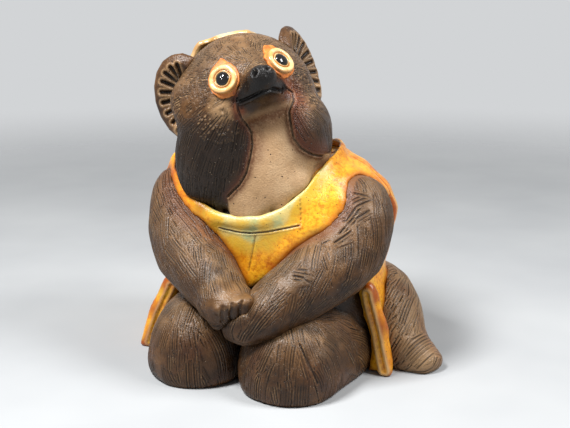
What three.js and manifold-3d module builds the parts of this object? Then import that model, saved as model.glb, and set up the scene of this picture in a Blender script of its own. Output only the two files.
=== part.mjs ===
// A kneeling tanuki figurine in stoneware, built by hand and fired as one body.
// Each lump, slab and coil of clay that the maker luted on with slip is one piece here,
// cut to its neighbours with the width of a slip joint between them.
// Millimetres, +Z up. The figure faces -Y and its left side is +X.

import * as THREE from "three";
import { mergeVertices } from "three/addons/utils/BufferGeometryUtils.js";
import Module from "manifold-3d";

const wasm = await Module();
wasm.setup();

// Clay
const SEAM = 0.3; // slip joint between two pieces of clay
const WALL = 8; // press-moulded wall of the body
const CLOTH = 5; // clay slab of the robe

// Body, hollow and open underneath
const HIP_HEIGHT = 20;
const HIP_HALF_WIDTH = 75;
const WAIST_HEIGHT = 62;
const WAIST_HALF_WIDTH = 62;
const CHEST_HEIGHT = 100;
const CHEST_HALF_WIDTH = 68;
const SHOULDER_HEIGHT = 122;
const SHOULDER_HALF_WIDTH = 58;
const SHOULDER_SHIFT = -8; // the shoulders lean to the figure's right
const NECK_HEIGHT = 132;
const NECK_SHIFT = -17;
const BELLY_DEPTH = 52; // in front of the body's axis
const RUMP_DEPTH = 60; // behind it

// Robe
const HEM_HALF_WIDTH = 88;
const HEM_SHIFT = -5;
const HEM_DEPTH = 68; // back of the hem behind the axis
const ROBE_CHEST_HALF_WIDTH = 82;
const ROBE_SHOULDER_HALF_WIDTH = 66;
const ROBE_NECK_HEIGHT = 139;
const ROBE_NECK_HALF_WIDTH = 50;
const OPENING_FRONT = -27; // the robe's front edges beside the thighs
const SHOULDER_SEAM = 3; // front and back of the robe meet over the shoulders
const BIB_TIP_HEIGHT = 58; // the bib runs down to a point over the belly
const ARMHOLE_HEIGHT = 112;
const NECKLINE_WIDTH = 9; // flat coil round the neckline
const NECKLINE_THICKNESS = 3;
const HEM_COIL_WIDTH = 11; // thick front edge of each hem flap
const HEM_COIL_THICKNESS = 9;
const FLAP_LEFT_HEIGHT = 57;
const FLAP_RIGHT_HEIGHT = 48;

// Head
const HEAD_CENTRE = [-19.6, -14.7, 169];
const HEAD_YAW = 32.6; // degrees, turned to its left
const HEAD_PITCH = 14.7; // looking up
const HEAD_ROLL = 16; // left side raised
const HEAD_HALF_WIDTH = 43;
const HEAD_HALF_DEPTH = 42;
const HEAD_HALF_HEIGHT = 41;
const SKULL_FORWARD = -2;
const THROAT_HALF_WIDTH = 37;
const THROAT_HALF_DEPTH = 40;
const CHIN_HALF_WIDTH = 22;
const JOWL_RIGHT_HALF_WIDTH = 29;
const JOWL_RIGHT_HALF_DEPTH = 30;
const JOWL_LEFT_HALF_WIDTH = 12.5;
const JOWL_LEFT_HALF_DEPTH = 25;
const SNOUT_REACH = 62; // from the middle of the head to the tip of the nose
const SNOUT_HALF_WIDTH = 19;
const SNOUT_HALF_HEIGHT = 12;
const NOSTRIL_SPACING = 8.4;
const NOSTRIL_DIAMETER = 3.6;
const NOSTRIL_DEPTH = 4;
const JAW_HALF_WIDTH = 16.5;
const JAW_HALF_HEIGHT = 6.5;

// Ears
const EAR_HEIGHT = 57;
const EAR_WIDTH = 43;
const EAR_THICKNESS = 12;
const EAR_RIM = 4.5; // width of the rim round the bowl
const EAR_BOWL_DEPTH = 7;
const EAR_LEFT_TURN = 50; // degrees that each bowl faces outwards
const EAR_RIGHT_TURN = 34;
const EAR_LEFT_OUT = 41; // middle of each ear from the middle of the head
const EAR_LEFT_UP = 8;
const EAR_RIGHT_OUT = 35;
const EAR_RIGHT_UP = 12;
const EAR_GOUGES = 9;
const EAR_GOUGES_FROM = -10; // degrees from the top of the ear, round its outer side
const EAR_GOUGES_TO = 140;
const EAR_GOUGE_WIDTH = 2.6;
const EAR_GOUGE_LENGTH = 11;

// Eyes
const EYE_SPACING = 35.6;
const EYE_UP = 12.3;
const EYE_PATCH_MARGIN = 1.6; // clay that shows beside the ring
const EYE_PATCH_PEAK = 4; // the patch runs up to a point
const EYE_PATCH_CLAY = 1.3;
const EYE_RING_DIAMETER = 18.4;
const EYE_RING_WIDTH = 2.7;
const EYE_RING_SUNK = 0.5; // into the patch
const EYEBALL_DIAMETER = 12.4;
const PUPIL_DIAMETER = 9.2;

// Leaf on the crown
const LEAF_LENGTH = 50;
const LEAF_WIDTH = 66;
const LEAF_CLAY = 2.8;
const LEAF_LOBES = 9;
const LEAF_SIDE = 3; // middle of the leaf, left of the head's middle
const LEAF_UP = 34;

// Limbs and tail
const SHOULDER_JOINT_DROP = 14; // below the shoulders
const UPPER_ARM_RADIUS = 19.5;
const ELBOW_RADIUS = 25;
const FOREARM_RADIUS = 20;
const WRIST_RADIUS = 16;
const ELBOW_HEIGHT = 79;
const WRIST_LEFT = [13, -79, 50];
const WRIST_RIGHT = [-13, -74, 58];
const FINGERS = 4;
const FINGER_RADIUS = 5;
const FINGER_LENGTH = 12;
const THIGH_HALF_WIDTH = 32.5;
const THIGH_TOP = 51;
const THIGH_SINK = 13; // height of each thigh's middle
const KNEE_LEFT_FRONT = -95;
const KNEE_RIGHT_FRONT = -88;
const TAIL_HALF_WIDTH = 26;
const TAIL_HALF_HEIGHT = 30;
const TAIL_TIP = [105, -12, 2];

const X = new THREE.Vector3(1, 0, 0);
const Y = new THREE.Vector3(0, 1, 0);
const Z = new THREE.Vector3(0, 0, 1);
const at = (x, y, z) => new THREE.Vector3(x, y, z);
const radians = THREE.MathUtils.degToRad;

// Turning geometries into solids that can be cut, and back

function solidOf(geometry, frame = new THREE.Matrix4()) {
  const bare = geometry.clone().applyMatrix4(frame);
  bare.deleteAttribute("normal");
  bare.deleteAttribute("uv");
  const merged = mergeVertices(bare, 1e-4);
  const vertProperties = merged.attributes.position.array;
  const triVerts = new Uint32Array(merged.index.array);
  return new wasm.Manifold(new wasm.Mesh({ numProp: 3, vertProperties, triVerts }));
}

function geometryOf(solid) {
  const mesh = solid.getMesh();
  const geometry = new THREE.BufferGeometry();
  geometry.setAttribute("position", new THREE.BufferAttribute(mesh.vertProperties, 3));
  geometry.setIndex(new THREE.BufferAttribute(mesh.triVerts, 1));
  return geometry;
}

// What is left of a lump of clay when its neighbours are cut away. Trimmings that come loose are dropped.
function trimmed(solid, ...neighbours) {
  const cut = neighbours.reduce((rest, neighbour) => rest.subtract(neighbour), solid);
  return cut.decompose().reduce((best, lump) => (lump.volume() > best.volume() ? lump : best));
}

// Forms that clay is shaped into. Each is a function that makes the form, or makes it grown all round
// by the slip joint, as the room that it takes out of its neighbours.

// A closed skin over rings of points. An open run of rings closes on the middles of its end rings.
function skin(rings, loop = false) {
  const count = rings[0].length;
  const points = rings.flat();
  const index = [];
  const spans = loop ? rings.length : rings.length - 1;
  for (let r = 0; r < spans; r++) {
    const next = ((r + 1) % rings.length) * count;
    for (let i = 0; i < count; i++) {
      const a = r * count + i;
      const b = r * count + ((i + 1) % count);
      const c = next + ((i + 1) % count);
      const d = next + i;
      index.push(a, b, c, a, c, d);
    }
  }
  if (!loop) {
    const middle = (ring) => ring.reduce((sum, p) => sum.add(p), at(0, 0, 0)).divideScalar(count);
    const last = (rings.length - 1) * count;
    points.push(middle(rings[0]), middle(rings[rings.length - 1]));
    for (let i = 0; i < count; i++) {
      const next = (i + 1) % count;
      index.push(points.length - 2, next, i, points.length - 1, last + i, last + next);
    }
  }
  const geometry = new THREE.BufferGeometry().setFromPoints(points);
  geometry.setIndex(index);
  return geometry;
}

// A ring of points round a centre: square = 2 is an ellipse, more is squarer, and taper narrows its top.
function oval(centre, across, through, halfAcross, halfThrough, sides, square = 2, taper = 0) {
  return Array.from({ length: sides }, (_, i) => {
    const angle = (2 * Math.PI * i) / sides;
    const c = Math.cos(angle);
    const s = Math.sin(angle);
    const narrow = 1 - (taper * (1 + s)) / 2;
    const a = halfAcross * narrow * Math.sign(c) * Math.abs(c) ** (2 / square);
    const b = halfThrough * Math.sign(s) * Math.abs(s) ** (2 / square);
    return centre.clone().addScaledVector(across, a).addScaledVector(through, b);
  });
}

// A rolled lump of clay: oval sections along a smooth path, with domed ends.
// Each girth is the half width and half height at one point of the path.
function rolled({
  path,
  girths,
  up = Z,
  sides = 14,
  steps = 8,
  caps = 3,
  dome = 0.8,
  square = 2,
  taper = 0,
  frame,
}) {
  return (grow = 0) => {
    const line = new THREE.CatmullRomCurve3(path, false, "centripetal");
    const size = new THREE.CatmullRomCurve3(girths.map(([a, b]) => at(a, b, 0)));
    const ringAt = (t, lean) => {
      const along = line.getTangent(t).normalize();
      const across = up.clone().cross(along).normalize();
      const through = along.clone().cross(across);
      const girth = size.getPoint(t);
      const bulge = Math.sin(lean) * (Math.min(girth.x, girth.y) * dome + grow);
      const centre = line.getPoint(t).addScaledVector(along, bulge);
      const a = (girth.x + grow) * Math.cos(lean);
      const b = (girth.y + grow) * Math.cos(lean);
      return oval(centre, across, through, a, b, sides, square, taper);
    };
    const lean = Math.PI / 2 / (caps + 0.4);
    const rings = [];
    for (let k = caps; k > 0; k--) rings.push(ringAt(0, -k * lean));
    for (let k = 0; k <= steps; k++) rings.push(ringAt(k / steps, 0));
    for (let k = 1; k <= caps; k++) rings.push(ringAt(1, k * lean));
    return solidOf(skin(rings), frame);
  };
}

// How far pushes carry a ball out towards one side, as a share of its radius.
// Each push is a direction, a share of the radius and a spread in radians.
function pushedOut(toward, pushes) {
  const bump = ([middle, share, spread]) => share * Math.exp(-((toward.angleTo(middle) / spread) ** 2));
  return pushes.reduce((sum, push) => sum + bump(push), 1);
}

// A ball of clay, pushed out or in
function ball({ radii, pushes = [], columns = 22, rows = 13, frame }) {
  return (grow = 0) => {
    const geometry = new THREE.SphereGeometry(1, columns, rows).rotateX(Math.PI / 2);
    const place = geometry.attributes.position;
    const p = at(0, 0, 0);
    for (let i = 0; i < place.count; i++) {
      p.fromBufferAttribute(place, i).normalize();
      const out = at(p.x * radii[0], p.y * radii[1], p.z * radii[2]);
      out.multiplyScalar(pushedOut(p, pushes));
      out.addScaledVector(p, grow);
      place.setXYZ(i, out.x, out.y, out.z);
    }
    return solidOf(geometry, frame);
  };
}

// A form built up of level sections, each with a height, half width, front, back and sideways shift.
// It runs on below the floor, where it is cut flat.
const BELOW_FLOOR = 20;

function levelled(sections, sides = 24) {
  const square = 2.3;
  return (grow = 0) => {
    const size = new THREE.CatmullRomCurve3(sections.map(([, w, f, b]) => at(w, f, b)));
    const rise = new THREE.CatmullRomCurve3(sections.map(([h, , , , shift = 0]) => at(shift, 0, h)));
    const steps = 2 * (sections.length - 1);
    const rings = [];
    for (let k = 0; k <= steps; k++) {
      const { x: half, y: front, z: back } = size.getPoint(k / steps);
      const { x: shift, z: height } = rise.getPoint(k / steps);
      const z = k === 0 ? -BELOW_FLOOR : height + (k === steps ? grow : 0);
      const centre = at(shift, (back - front) / 2, z);
      rings.push(oval(centre, X, Y, half + grow, (front + back) / 2 + grow, sides, square));
    }
    return solidOf(skin(rings));
  };
}

// A block whose outline lies in the YZ plane and which runs along X, or lies in XZ and runs along Y.
function blockAlong(axis, outline, from, to) {
  const shape = new THREE.Shape(outline.map(([a, b]) => new THREE.Vector2(a, b)));
  const geometry = new THREE.ExtrudeGeometry(shape, { depth: to - from, bevelEnabled: false });
  const frame = new THREE.Matrix4();
  if (axis === "x") frame.makeBasis(Y, Z, X).setPosition(from, 0, 0);
  else frame.makeBasis(X, Z, Y.clone().negate()).setPosition(0, to, 0);
  return solidOf(geometry, frame);
}

const EVERYTHING = 400; // longer than the figure in any direction
const aboveFloor = solidOf(
  new THREE.BoxGeometry(EVERYTHING, EVERYTHING, EVERYTHING).translate(0, 0, EVERYTHING / 2),
);

// Body

const bodySections = [
  [0, 0.97 * HIP_HALF_WIDTH, 0.8 * BELLY_DEPTH, 0.97 * RUMP_DEPTH],
  [HIP_HEIGHT, HIP_HALF_WIDTH, 0.92 * BELLY_DEPTH, RUMP_DEPTH],
  [WAIST_HEIGHT, WAIST_HALF_WIDTH, BELLY_DEPTH, 0.9 * RUMP_DEPTH, 0.3 * SHOULDER_SHIFT],
  [CHEST_HEIGHT, CHEST_HALF_WIDTH, BELLY_DEPTH, 0.81 * RUMP_DEPTH, 0.7 * SHOULDER_SHIFT],
  [SHOULDER_HEIGHT, SHOULDER_HALF_WIDTH, 0.76 * BELLY_DEPTH, 0.64 * RUMP_DEPTH, SHOULDER_SHIFT],
  [NECK_HEIGHT, 0.7 * SHOULDER_HALF_WIDTH, 0.6 * BELLY_DEPTH, 0.48 * RUMP_DEPTH, NECK_SHIFT],
];
const bodyForm = levelled(bodySections);

function bodyShell() {
  const hollow = levelled(bodySections, 16)(-WALL).translate(0, 0, -WALL);
  return bodyForm().intersect(aboveFloor).subtract(hollow);
}

// Robe: one slab wrapped round the body, cut into a back panel and a bib

const robeForm = levelled([
  [0, HEM_HALF_WIDTH, BELLY_DEPTH, HEM_DEPTH, HEM_SHIFT],
  [
    HIP_HEIGHT,
    0.5 * (HEM_HALF_WIDTH + HIP_HALF_WIDTH) - 2,
    BELLY_DEPTH,
    0.96 * HEM_DEPTH,
    0.7 * HEM_SHIFT,
  ],
  [
    WAIST_HEIGHT,
    WAIST_HALF_WIDTH + 1.7 * CLOTH,
    BELLY_DEPTH + CLOTH,
    0.96 * RUMP_DEPTH,
    0.3 * SHOULDER_SHIFT,
  ],
  [
    CHEST_HEIGHT,
    ROBE_CHEST_HALF_WIDTH,
    BELLY_DEPTH + CLOTH,
    0.81 * RUMP_DEPTH + CLOTH,
    0.6 * SHOULDER_SHIFT,
  ],
  [
    SHOULDER_HEIGHT + CLOTH,
    ROBE_SHOULDER_HALF_WIDTH,
    0.78 * BELLY_DEPTH + CLOTH,
    0.64 * RUMP_DEPTH + CLOTH,
    SHOULDER_SHIFT,
  ],
  [
    ROBE_NECK_HEIGHT,
    ROBE_NECK_HALF_WIDTH,
    0.62 * BELLY_DEPTH + CLOTH,
    0.53 * RUMP_DEPTH + CLOTH,
    NECK_SHIFT,
  ],
  [
    ROBE_NECK_HEIGHT + CLOTH,
    0.5 * ROBE_NECK_HALF_WIDTH,
    0.3 * BELLY_DEPTH,
    0.3 * RUMP_DEPTH,
    NECK_SHIFT,
  ],
]);

// The stretch behind the arms, from the hem up over the shoulders
const backPanel = () =>
  blockAlong(
    "x",
    [
      [OPENING_FRONT, -1],
      [OPENING_FRONT + 4, WAIST_HEIGHT],
      [SHOULDER_SEAM, WAIST_HEIGHT + 8],
      [SHOULDER_SEAM, EVERYTHING],
      [EVERYTHING, EVERYTHING],
      [EVERYTHING, -1],
    ],
    -EVERYTHING,
    EVERYTHING,
  );

// The stretch in front, a point over the belly that widens to the armholes
const bib = () =>
  blockAlong(
    "y",
    [
      [-3, BIB_TIP_HEIGHT],
      [ROBE_CHEST_HALF_WIDTH - 8, ARMHOLE_HEIGHT],
      [ROBE_CHEST_HALF_WIDTH - 8, EVERYTHING],
      [-ROBE_CHEST_HALF_WIDTH - 8, EVERYTHING],
      [-ROBE_CHEST_HALF_WIDTH - 8, ARMHOLE_HEIGHT],
    ],
    -EVERYTHING,
    SHOULDER_SEAM - SEAM,
  );

// Hem flaps: the thick front edges of the robe beside the thighs

function flapForm(side, height) {
  const foot = at(HEM_SHIFT + side * (HEM_HALF_WIDTH - 4.5), OPENING_FRONT - 1.5, 0);
  const top = at(0.3 * SHOULDER_SHIFT + side * (WAIST_HALF_WIDTH + CLOTH), OPENING_FRONT + 3, height);
  const bend = foot.clone().lerp(top, 0.5).add(at(2 * side, 0, 0));
  return rolled({
    path: [foot, bend, top],
    girths: [
      [HEM_COIL_WIDTH / 2, HEM_COIL_THICKNESS / 2],
      [HEM_COIL_WIDTH / 2, HEM_COIL_THICKNESS / 2],
      [HEM_COIL_WIDTH / 2.4, HEM_COIL_THICKNESS / 2],
    ],
    up: Y,
    sides: 10,
    steps: 6,
    caps: 2,
  });
}

// Neckline: a flat coil that runs right round the neck. Each point is x, y and its drop below the robe's top.

const necklineAt = new THREE.CatmullRomCurve3(
  [
    [-7, -58, 38],
    [11, -56, 35],
    [27, -48.5, 25],
    [38, -33, 9],
    [42, -8, 1],
    [35, 16, 0],
    [12, 32, 3],
    [-20, 36, 6],
    [-50, 28, 6],
    [-68, 10, 6],
    [-72, -12, 11],
    [-57, -38, 23],
    [-30, -55, 35],
  ].map(([x, y, drop]) => at(x, y, ROBE_NECK_HEIGHT - drop)),
  true,
  "centripetal",
);
const NECKLINE_STEPS = 26;

function necklineForm(grow = 0) {
  const rings = [];
  for (let k = 0; k < NECKLINE_STEPS; k++) {
    const centre = necklineAt.getPoint(k / NECKLINE_STEPS);
    const along = necklineAt.getTangent(k / NECKLINE_STEPS).normalize();
    const out = at(centre.x - NECK_SHIFT, centre.y, 26).normalize();
    const across = out.clone().cross(along).normalize();
    const through = along.clone().cross(across);
    rings.push(oval(centre, across, through, NECKLINE_WIDTH / 2 + grow, NECKLINE_THICKNESS / 2 + grow, 8));
  }
  return solidOf(skin(rings, true));
}

// Everything above the neckline and inside it
function neckOpening() {
  const loop = necklineAt.getPoints(NECKLINE_STEPS).slice(0, NECKLINE_STEPS);
  const raised = (rise) => loop.map((p) => p.clone().add(at(0, 0, rise)));
  return solidOf(skin([raised(-2), raised(60)]));
}

// Arms, lying over the lap: shoulder, upper arm, elbow, forearm and wrist

function armForm(side, shoulder, elbow, wrist) {
  const upperArm = shoulder.clone().lerp(elbow, 0.4).add(at(5 * side, 1, 0));
  const forearm = elbow.clone().lerp(wrist, 0.48).add(at(0, -3, -1));
  return rolled({
    path: [shoulder, upperArm, elbow, forearm, wrist],
    girths: [
      [1.05 * UPPER_ARM_RADIUS, UPPER_ARM_RADIUS],
      [1.12 * UPPER_ARM_RADIUS, 1.1 * UPPER_ARM_RADIUS],
      [0.87 * ELBOW_RADIUS, ELBOW_RADIUS],
      [0.95 * FOREARM_RADIUS, FOREARM_RADIUS],
      [0.97 * WRIST_RADIUS, WRIST_RADIUS],
    ],
    up: X,
    sides: 14,
    steps: 9,
  });
}

const shoulderJointHeight = SHOULDER_HEIGHT - SHOULDER_JOINT_DROP;
const armLeftForm = armForm(
  1,
  at(CHEST_HALF_WIDTH - 13, -15, shoulderJointHeight),
  at(WAIST_HALF_WIDTH - 12, -38, ELBOW_HEIGHT),
  at(...WRIST_LEFT),
);
const armRightForm = armForm(
  -1,
  at(6 - CHEST_HALF_WIDTH, -16, shoulderJointHeight),
  at(17 - WAIST_HALF_WIDTH, -45, ELBOW_HEIGHT),
  at(...WRIST_RIGHT),
);

// Hands: the left one hangs from its wrist under the right one, whose fingers close over it

const fromLeftWrist = (x, y, z) => at(...WRIST_LEFT).add(at(x, y, z));
const fromRightWrist = (x, y, z) => at(...WRIST_RIGHT).add(at(x, y, z));

const handLeftForm = rolled({
  path: [fromLeftWrist(-6, -2, -4), fromLeftWrist(-12, -4, -7), fromLeftWrist(-17, -4, -9)],
  girths: [
    [0.88 * WRIST_RADIUS, 0.85 * WRIST_RADIUS],
    [0.75 * WRIST_RADIUS, 0.75 * WRIST_RADIUS],
    [0.5 * WRIST_RADIUS, 0.5 * WRIST_RADIUS],
  ],
  up: X,
  sides: 10,
  steps: 3,
  caps: 2,
});

const palmRightForm = rolled({
  path: [fromRightWrist(-2, -1, 0), fromRightWrist(4, -5, -1), fromRightWrist(10, -8, -1)],
  girths: [
    [0.95 * WRIST_RADIUS, WRIST_RADIUS],
    [0.9 * WRIST_RADIUS, WRIST_RADIUS],
    [0.7 * WRIST_RADIUS, 0.9 * WRIST_RADIUS],
  ],
  up: X,
  sides: 12,
  steps: 3,
  caps: 2,
});

function handRightForm(grow = 0) {
  let hand = palmRightForm(grow);
  for (let i = 0; i < FINGERS; i++) {
    const share = i / (FINGERS - 1);
    const knuckle = fromRightWrist(20 * share, -15 + 2 * share, -3 + 5.5 * share);
    const fold = knuckle.clone().add(at(0, 0, -0.5 * FINGER_LENGTH));
    const finger = rolled({
      path: [knuckle, fold, knuckle.clone().add(at(0, 5, -FINGER_LENGTH))],
      girths: [
        [FINGER_RADIUS, FINGER_RADIUS],
        [0.9 * FINGER_RADIUS, 0.9 * FINGER_RADIUS],
        [0.7 * FINGER_RADIUS, 0.7 * FINGER_RADIUS],
      ],
      up: X,
      sides: 8,
      steps: 2,
      caps: 2,
    });
    hand = hand.add(finger(grow));
  }
  return hand;
}

// Thighs, from under the arms to the knees

function thighForm(hip, bend, kneeX, kneeFront) {
  const dome = 0.95;
  const girth = THIGH_TOP - THIGH_SINK;
  const kneeY = kneeFront + dome * THIGH_HALF_WIDTH - 2;
  return rolled({
    path: [at(...hip, THIGH_SINK), at(...bend, THIGH_SINK), at(kneeX, kneeY, THIGH_SINK)],
    girths: [
      [THIGH_HALF_WIDTH, girth],
      [THIGH_HALF_WIDTH, girth],
      [0.97 * THIGH_HALF_WIDTH, 0.97 * girth],
    ],
    sides: 16,
    steps: 4,
    caps: 4,
    dome,
  });
}

const thighLeftForm = thighForm([38, -4], [33, -34], 26, KNEE_LEFT_FRONT);
const thighRightForm = thighForm([-44, -4], [-40, -34], -37, KNEE_RIGHT_FRONT);

// Tail, from the rump round the left side, with its tip on the floor

const tailForm = rolled({
  path: [at(40, 46, 28), at(63, 20, 27), at(83, -2, 11), at(...TAIL_TIP)],
  girths: [
    [0.95 * TAIL_HALF_WIDTH, 0.95 * TAIL_HALF_HEIGHT],
    [0.95 * TAIL_HALF_WIDTH, TAIL_HALF_HEIGHT],
    [0.7 * TAIL_HALF_WIDTH, 0.62 * TAIL_HALF_HEIGHT],
    [0.4 * TAIL_HALF_WIDTH, 0.3 * TAIL_HALF_HEIGHT],
  ],
  sides: 14,
  steps: 9,
  dome: 0.25,
  square: 2.2,
});

// Head

const headFrame = new THREE.Matrix4()
  .makeRotationZ(radians(HEAD_YAW))
  .multiply(new THREE.Matrix4().makeRotationX(radians(-HEAD_PITCH)))
  .multiply(new THREE.Matrix4().makeRotationY(radians(-HEAD_ROLL)))
  .setPosition(...HEAD_CENTRE);
const inHead = (x, y, z) => at(x, y, z).applyMatrix4(headFrame);

// Brow pushed out, cheeks filled, the right one mounded before its ear, and the chin's underside pressed in
const SKULL_PUSHES = [
  [at(0, -1, 0.2).normalize(), 0.12, 0.3],
  [at(0.75, -0.5, -0.35).normalize(), 0.06, 0.5],
  [at(-0.75, -0.5, -0.35).normalize(), 0.06, 0.5],
  [at(-0.95, -0.3, -0.1).normalize(), 0.14, 0.42],
  [at(0, -0.6, -0.8).normalize(), -0.2, 0.6],
];

const skullForm = ball({
  radii: [HEAD_HALF_WIDTH, HEAD_HALF_DEPTH, HEAD_HALF_HEIGHT],
  pushes: SKULL_PUSHES,
  frame: headFrame.clone().multiply(new THREE.Matrix4().makeTranslation(0, SKULL_FORWARD, 0)),
});

const throatForm = rolled({
  path: [at(-8, -16, 98), at(-3, -19, 122), at(4, -24, 147), at(4, -30, 164)],
  girths: [
    [THROAT_HALF_WIDTH, THROAT_HALF_DEPTH],
    [0.95 * THROAT_HALF_WIDTH, 0.95 * THROAT_HALF_DEPTH],
    [1.1 * CHIN_HALF_WIDTH, 0.75 * THROAT_HALF_DEPTH],
    [0.85 * CHIN_HALF_WIDTH, 0.5 * THROAT_HALF_DEPTH],
  ],
  up: Y,
  steps: 6,
  caps: 2,
});

// Jowls: the long fur that hangs from the cheeks on both sides of the throat

const jowlRightForm = rolled({
  path: [inHead(-20, -14, -7), at(-29, -31, 139), at(-33, -29, 117)],
  girths: [
    [0.8 * JOWL_RIGHT_HALF_WIDTH, 0.83 * JOWL_RIGHT_HALF_DEPTH],
    [JOWL_RIGHT_HALF_WIDTH, JOWL_RIGHT_HALF_DEPTH],
    [0.85 * JOWL_RIGHT_HALF_WIDTH, 0.9 * JOWL_RIGHT_HALF_DEPTH],
  ],
  up: Y,
  sides: 14,
  steps: 5,
  dome: 0.6,
  square: 2.4,
});

const jowlLeftForm = rolled({
  path: [at(14.5, -18, 172), at(24, -22, 157), at(26.5, -22, 140)],
  girths: [
    [0.85 * JOWL_LEFT_HALF_WIDTH, 0.7 * JOWL_LEFT_HALF_DEPTH],
    [JOWL_LEFT_HALF_WIDTH, JOWL_LEFT_HALF_DEPTH],
    [0.9 * JOWL_LEFT_HALF_WIDTH, 0.85 * JOWL_LEFT_HALF_DEPTH],
  ],
  up: Y,
  sides: 14,
  steps: 5,
  dome: 0.6,
  square: 2.4,
});

// Snout, tapered to its top, with two nostrils, and the lower jaw under it

const snoutForm = rolled({
  path: [at(0, -24, 2), at(0, -43, 2), at(0, 5 - SNOUT_REACH, 6.5)],
  girths: [
    [SNOUT_HALF_WIDTH, 1.1 * SNOUT_HALF_HEIGHT],
    [0.95 * SNOUT_HALF_WIDTH, SNOUT_HALF_HEIGHT],
    [0.4 * SNOUT_HALF_WIDTH, 0.5 * SNOUT_HALF_HEIGHT],
  ],
  taper: 0.45,
  steps: 6,
  frame: headFrame,
});

function nostril(side) {
  const place = new THREE.Matrix4().makeTranslation((side * NOSTRIL_SPACING) / 2, 1.6 - SNOUT_REACH, 8);
  const radius = NOSTRIL_DIAMETER / 2;
  return ball({
    radii: [radius, NOSTRIL_DEPTH, radius],
    columns: 8,
    rows: 5,
    frame: headFrame.clone().multiply(place),
  })();
}

const jawForm = rolled({
  path: [at(0, -22, -12), at(0, -38, -10.5), at(0, -46, -7.5)],
  girths: [
    [JAW_HALF_WIDTH, JAW_HALF_HEIGHT],
    [JAW_HALF_WIDTH, JAW_HALF_HEIGHT],
    [0.6 * JAW_HALF_WIDTH, 0.6 * JAW_HALF_HEIGHT],
  ],
  steps: 6,
  sides: 14,
  frame: headFrame,
});

// Ears: a thick disc with a bowl pressed into it and gouges cut round the bowl

function earFrame(side) {
  const out = side > 0 ? EAR_LEFT_OUT : -EAR_RIGHT_OUT;
  const up = side > 0 ? EAR_LEFT_UP : EAR_RIGHT_UP;
  const turn = side > 0 ? EAR_LEFT_TURN : -EAR_RIGHT_TURN;
  return headFrame
    .clone()
    .multiply(new THREE.Matrix4().makeTranslation(out, 0, up))
    .multiply(new THREE.Matrix4().makeRotationZ(radians(turn)));
}

const earForm = (side) =>
  ball({
    radii: [EAR_WIDTH / 2, EAR_THICKNESS / 2, EAR_HEIGHT / 2],
    columns: 16,
    rows: 9,
    frame: earFrame(side),
  });

function earHollow(side) {
  const bowlWidth = EAR_WIDTH / 2 - EAR_RIM;
  const bowlHeight = EAR_HEIGHT / 2 - EAR_RIM;
  const front = new THREE.Matrix4().makeTranslation(0, -EAR_THICKNESS / 2, 0);
  const frame = earFrame(side).multiply(front);
  let hollow = ball({ radii: [bowlWidth, EAR_BOWL_DEPTH, bowlHeight], columns: 14, rows: 6, frame })();
  for (let i = 0; i < EAR_GOUGES; i++) {
    const angle = radians(EAR_GOUGES_FROM + ((EAR_GOUGES_TO - EAR_GOUGES_FROM) * i) / (EAR_GOUGES - 1));
    const toward = at(side * Math.sin(angle), 0, Math.cos(angle));
    const reach = (length, depth) =>
      at(toward.x * (bowlWidth - length), depth, toward.z * (bowlHeight - length));
    const gouge = rolled({
      path: [reach(EAR_GOUGE_LENGTH, EAR_BOWL_DEPTH - 2.5), reach(0, 1.5)],
      girths: [
        [EAR_GOUGE_WIDTH / 2, EAR_GOUGE_WIDTH / 2],
        [EAR_GOUGE_WIDTH / 2, EAR_GOUGE_WIDTH / 2],
      ],
      up: Y,
      sides: 5,
      steps: 1,
      caps: 1,
      frame,
    });
    hollow = hollow.add(gouge());
  }
  return hollow;
}

// The place on the skull, in the head's frame, that lies to the side and up by these millimetres
function placeOnSkull(side, up, behind) {
  const toward = at(0, 0, 0);
  let reach = 1;
  for (let i = 0; i < 6; i++) {
    const x = side / (HEAD_HALF_WIDTH * reach);
    const z = up / (HEAD_HALF_HEIGHT * reach);
    toward.set(x, (behind ? 1 : -1) * Math.sqrt(1 - x * x - z * z), z);
    reach = pushedOut(toward, SKULL_PUSHES);
  }
  return at(side, toward.y * HEAD_HALF_DEPTH * reach + SKULL_FORWARD, up);
}

// A frame there whose Y runs straight into the skull
function frameOnSkull(side, up, behind = false) {
  const place = placeOnSkull(side, up, behind);
  const sideways = placeOnSkull(side + 1, up, behind).sub(place);
  const upwards = placeOnSkull(side, up + 1, behind).sub(place);
  const through = upwards.cross(sideways).normalize();
  if (behind) through.negate();
  const across = through.clone().cross(Z).normalize();
  const basis = new THREE.Matrix4().makeBasis(across, through, across.clone().cross(through));
  return headFrame.clone().multiply(basis.setPosition(place));
}

// A slab of clay laid on the skull. Its outline gives a point at each angle.
function slabOnSkull(frame, clayThickness, outline, points) {
  const corners = Array.from({ length: points }, (_, i) => outline((2 * Math.PI * i) / points));
  const depth = 0.6 * HEAD_HALF_DEPTH;
  const prism = new THREE.ExtrudeGeometry(new THREE.Shape(corners), { depth, bevelEnabled: false });
  const upright = new THREE.Matrix4().makeBasis(X, Z, Y.clone().negate()).setPosition(0, depth / 2, 0);
  const solid = solidOf(prism, frame.clone().multiply(upright));
  return solid.intersect(skullForm(SEAM + clayThickness));
}

// Eyes: a thin patch of orange clay, a coil laid on it in a ring, the eyeball in the ring and the pupil on it

const eyeFrame = (side) => frameOnSkull((side * EYE_SPACING) / 2, EYE_UP);
const raisedEyeFrame = (side, rise) =>
  eyeFrame(side).multiply(new THREE.Matrix4().makeTranslation(0, -rise, 0));

function eyePatch(side) {
  const outline = (angle) => {
    const peak = EYE_PATCH_PEAK * Math.exp(-(((angle - Math.PI / 2) / 0.4) ** 2));
    const radius = EYE_RING_DIAMETER / 2 + EYE_PATCH_MARGIN;
    const height = radius + EYE_PATCH_MARGIN;
    return new THREE.Vector2(radius * Math.cos(angle), height * Math.sin(angle) + peak);
  };
  return slabOnSkull(eyeFrame(side), EYE_PATCH_CLAY, outline, 16);
}

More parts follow.
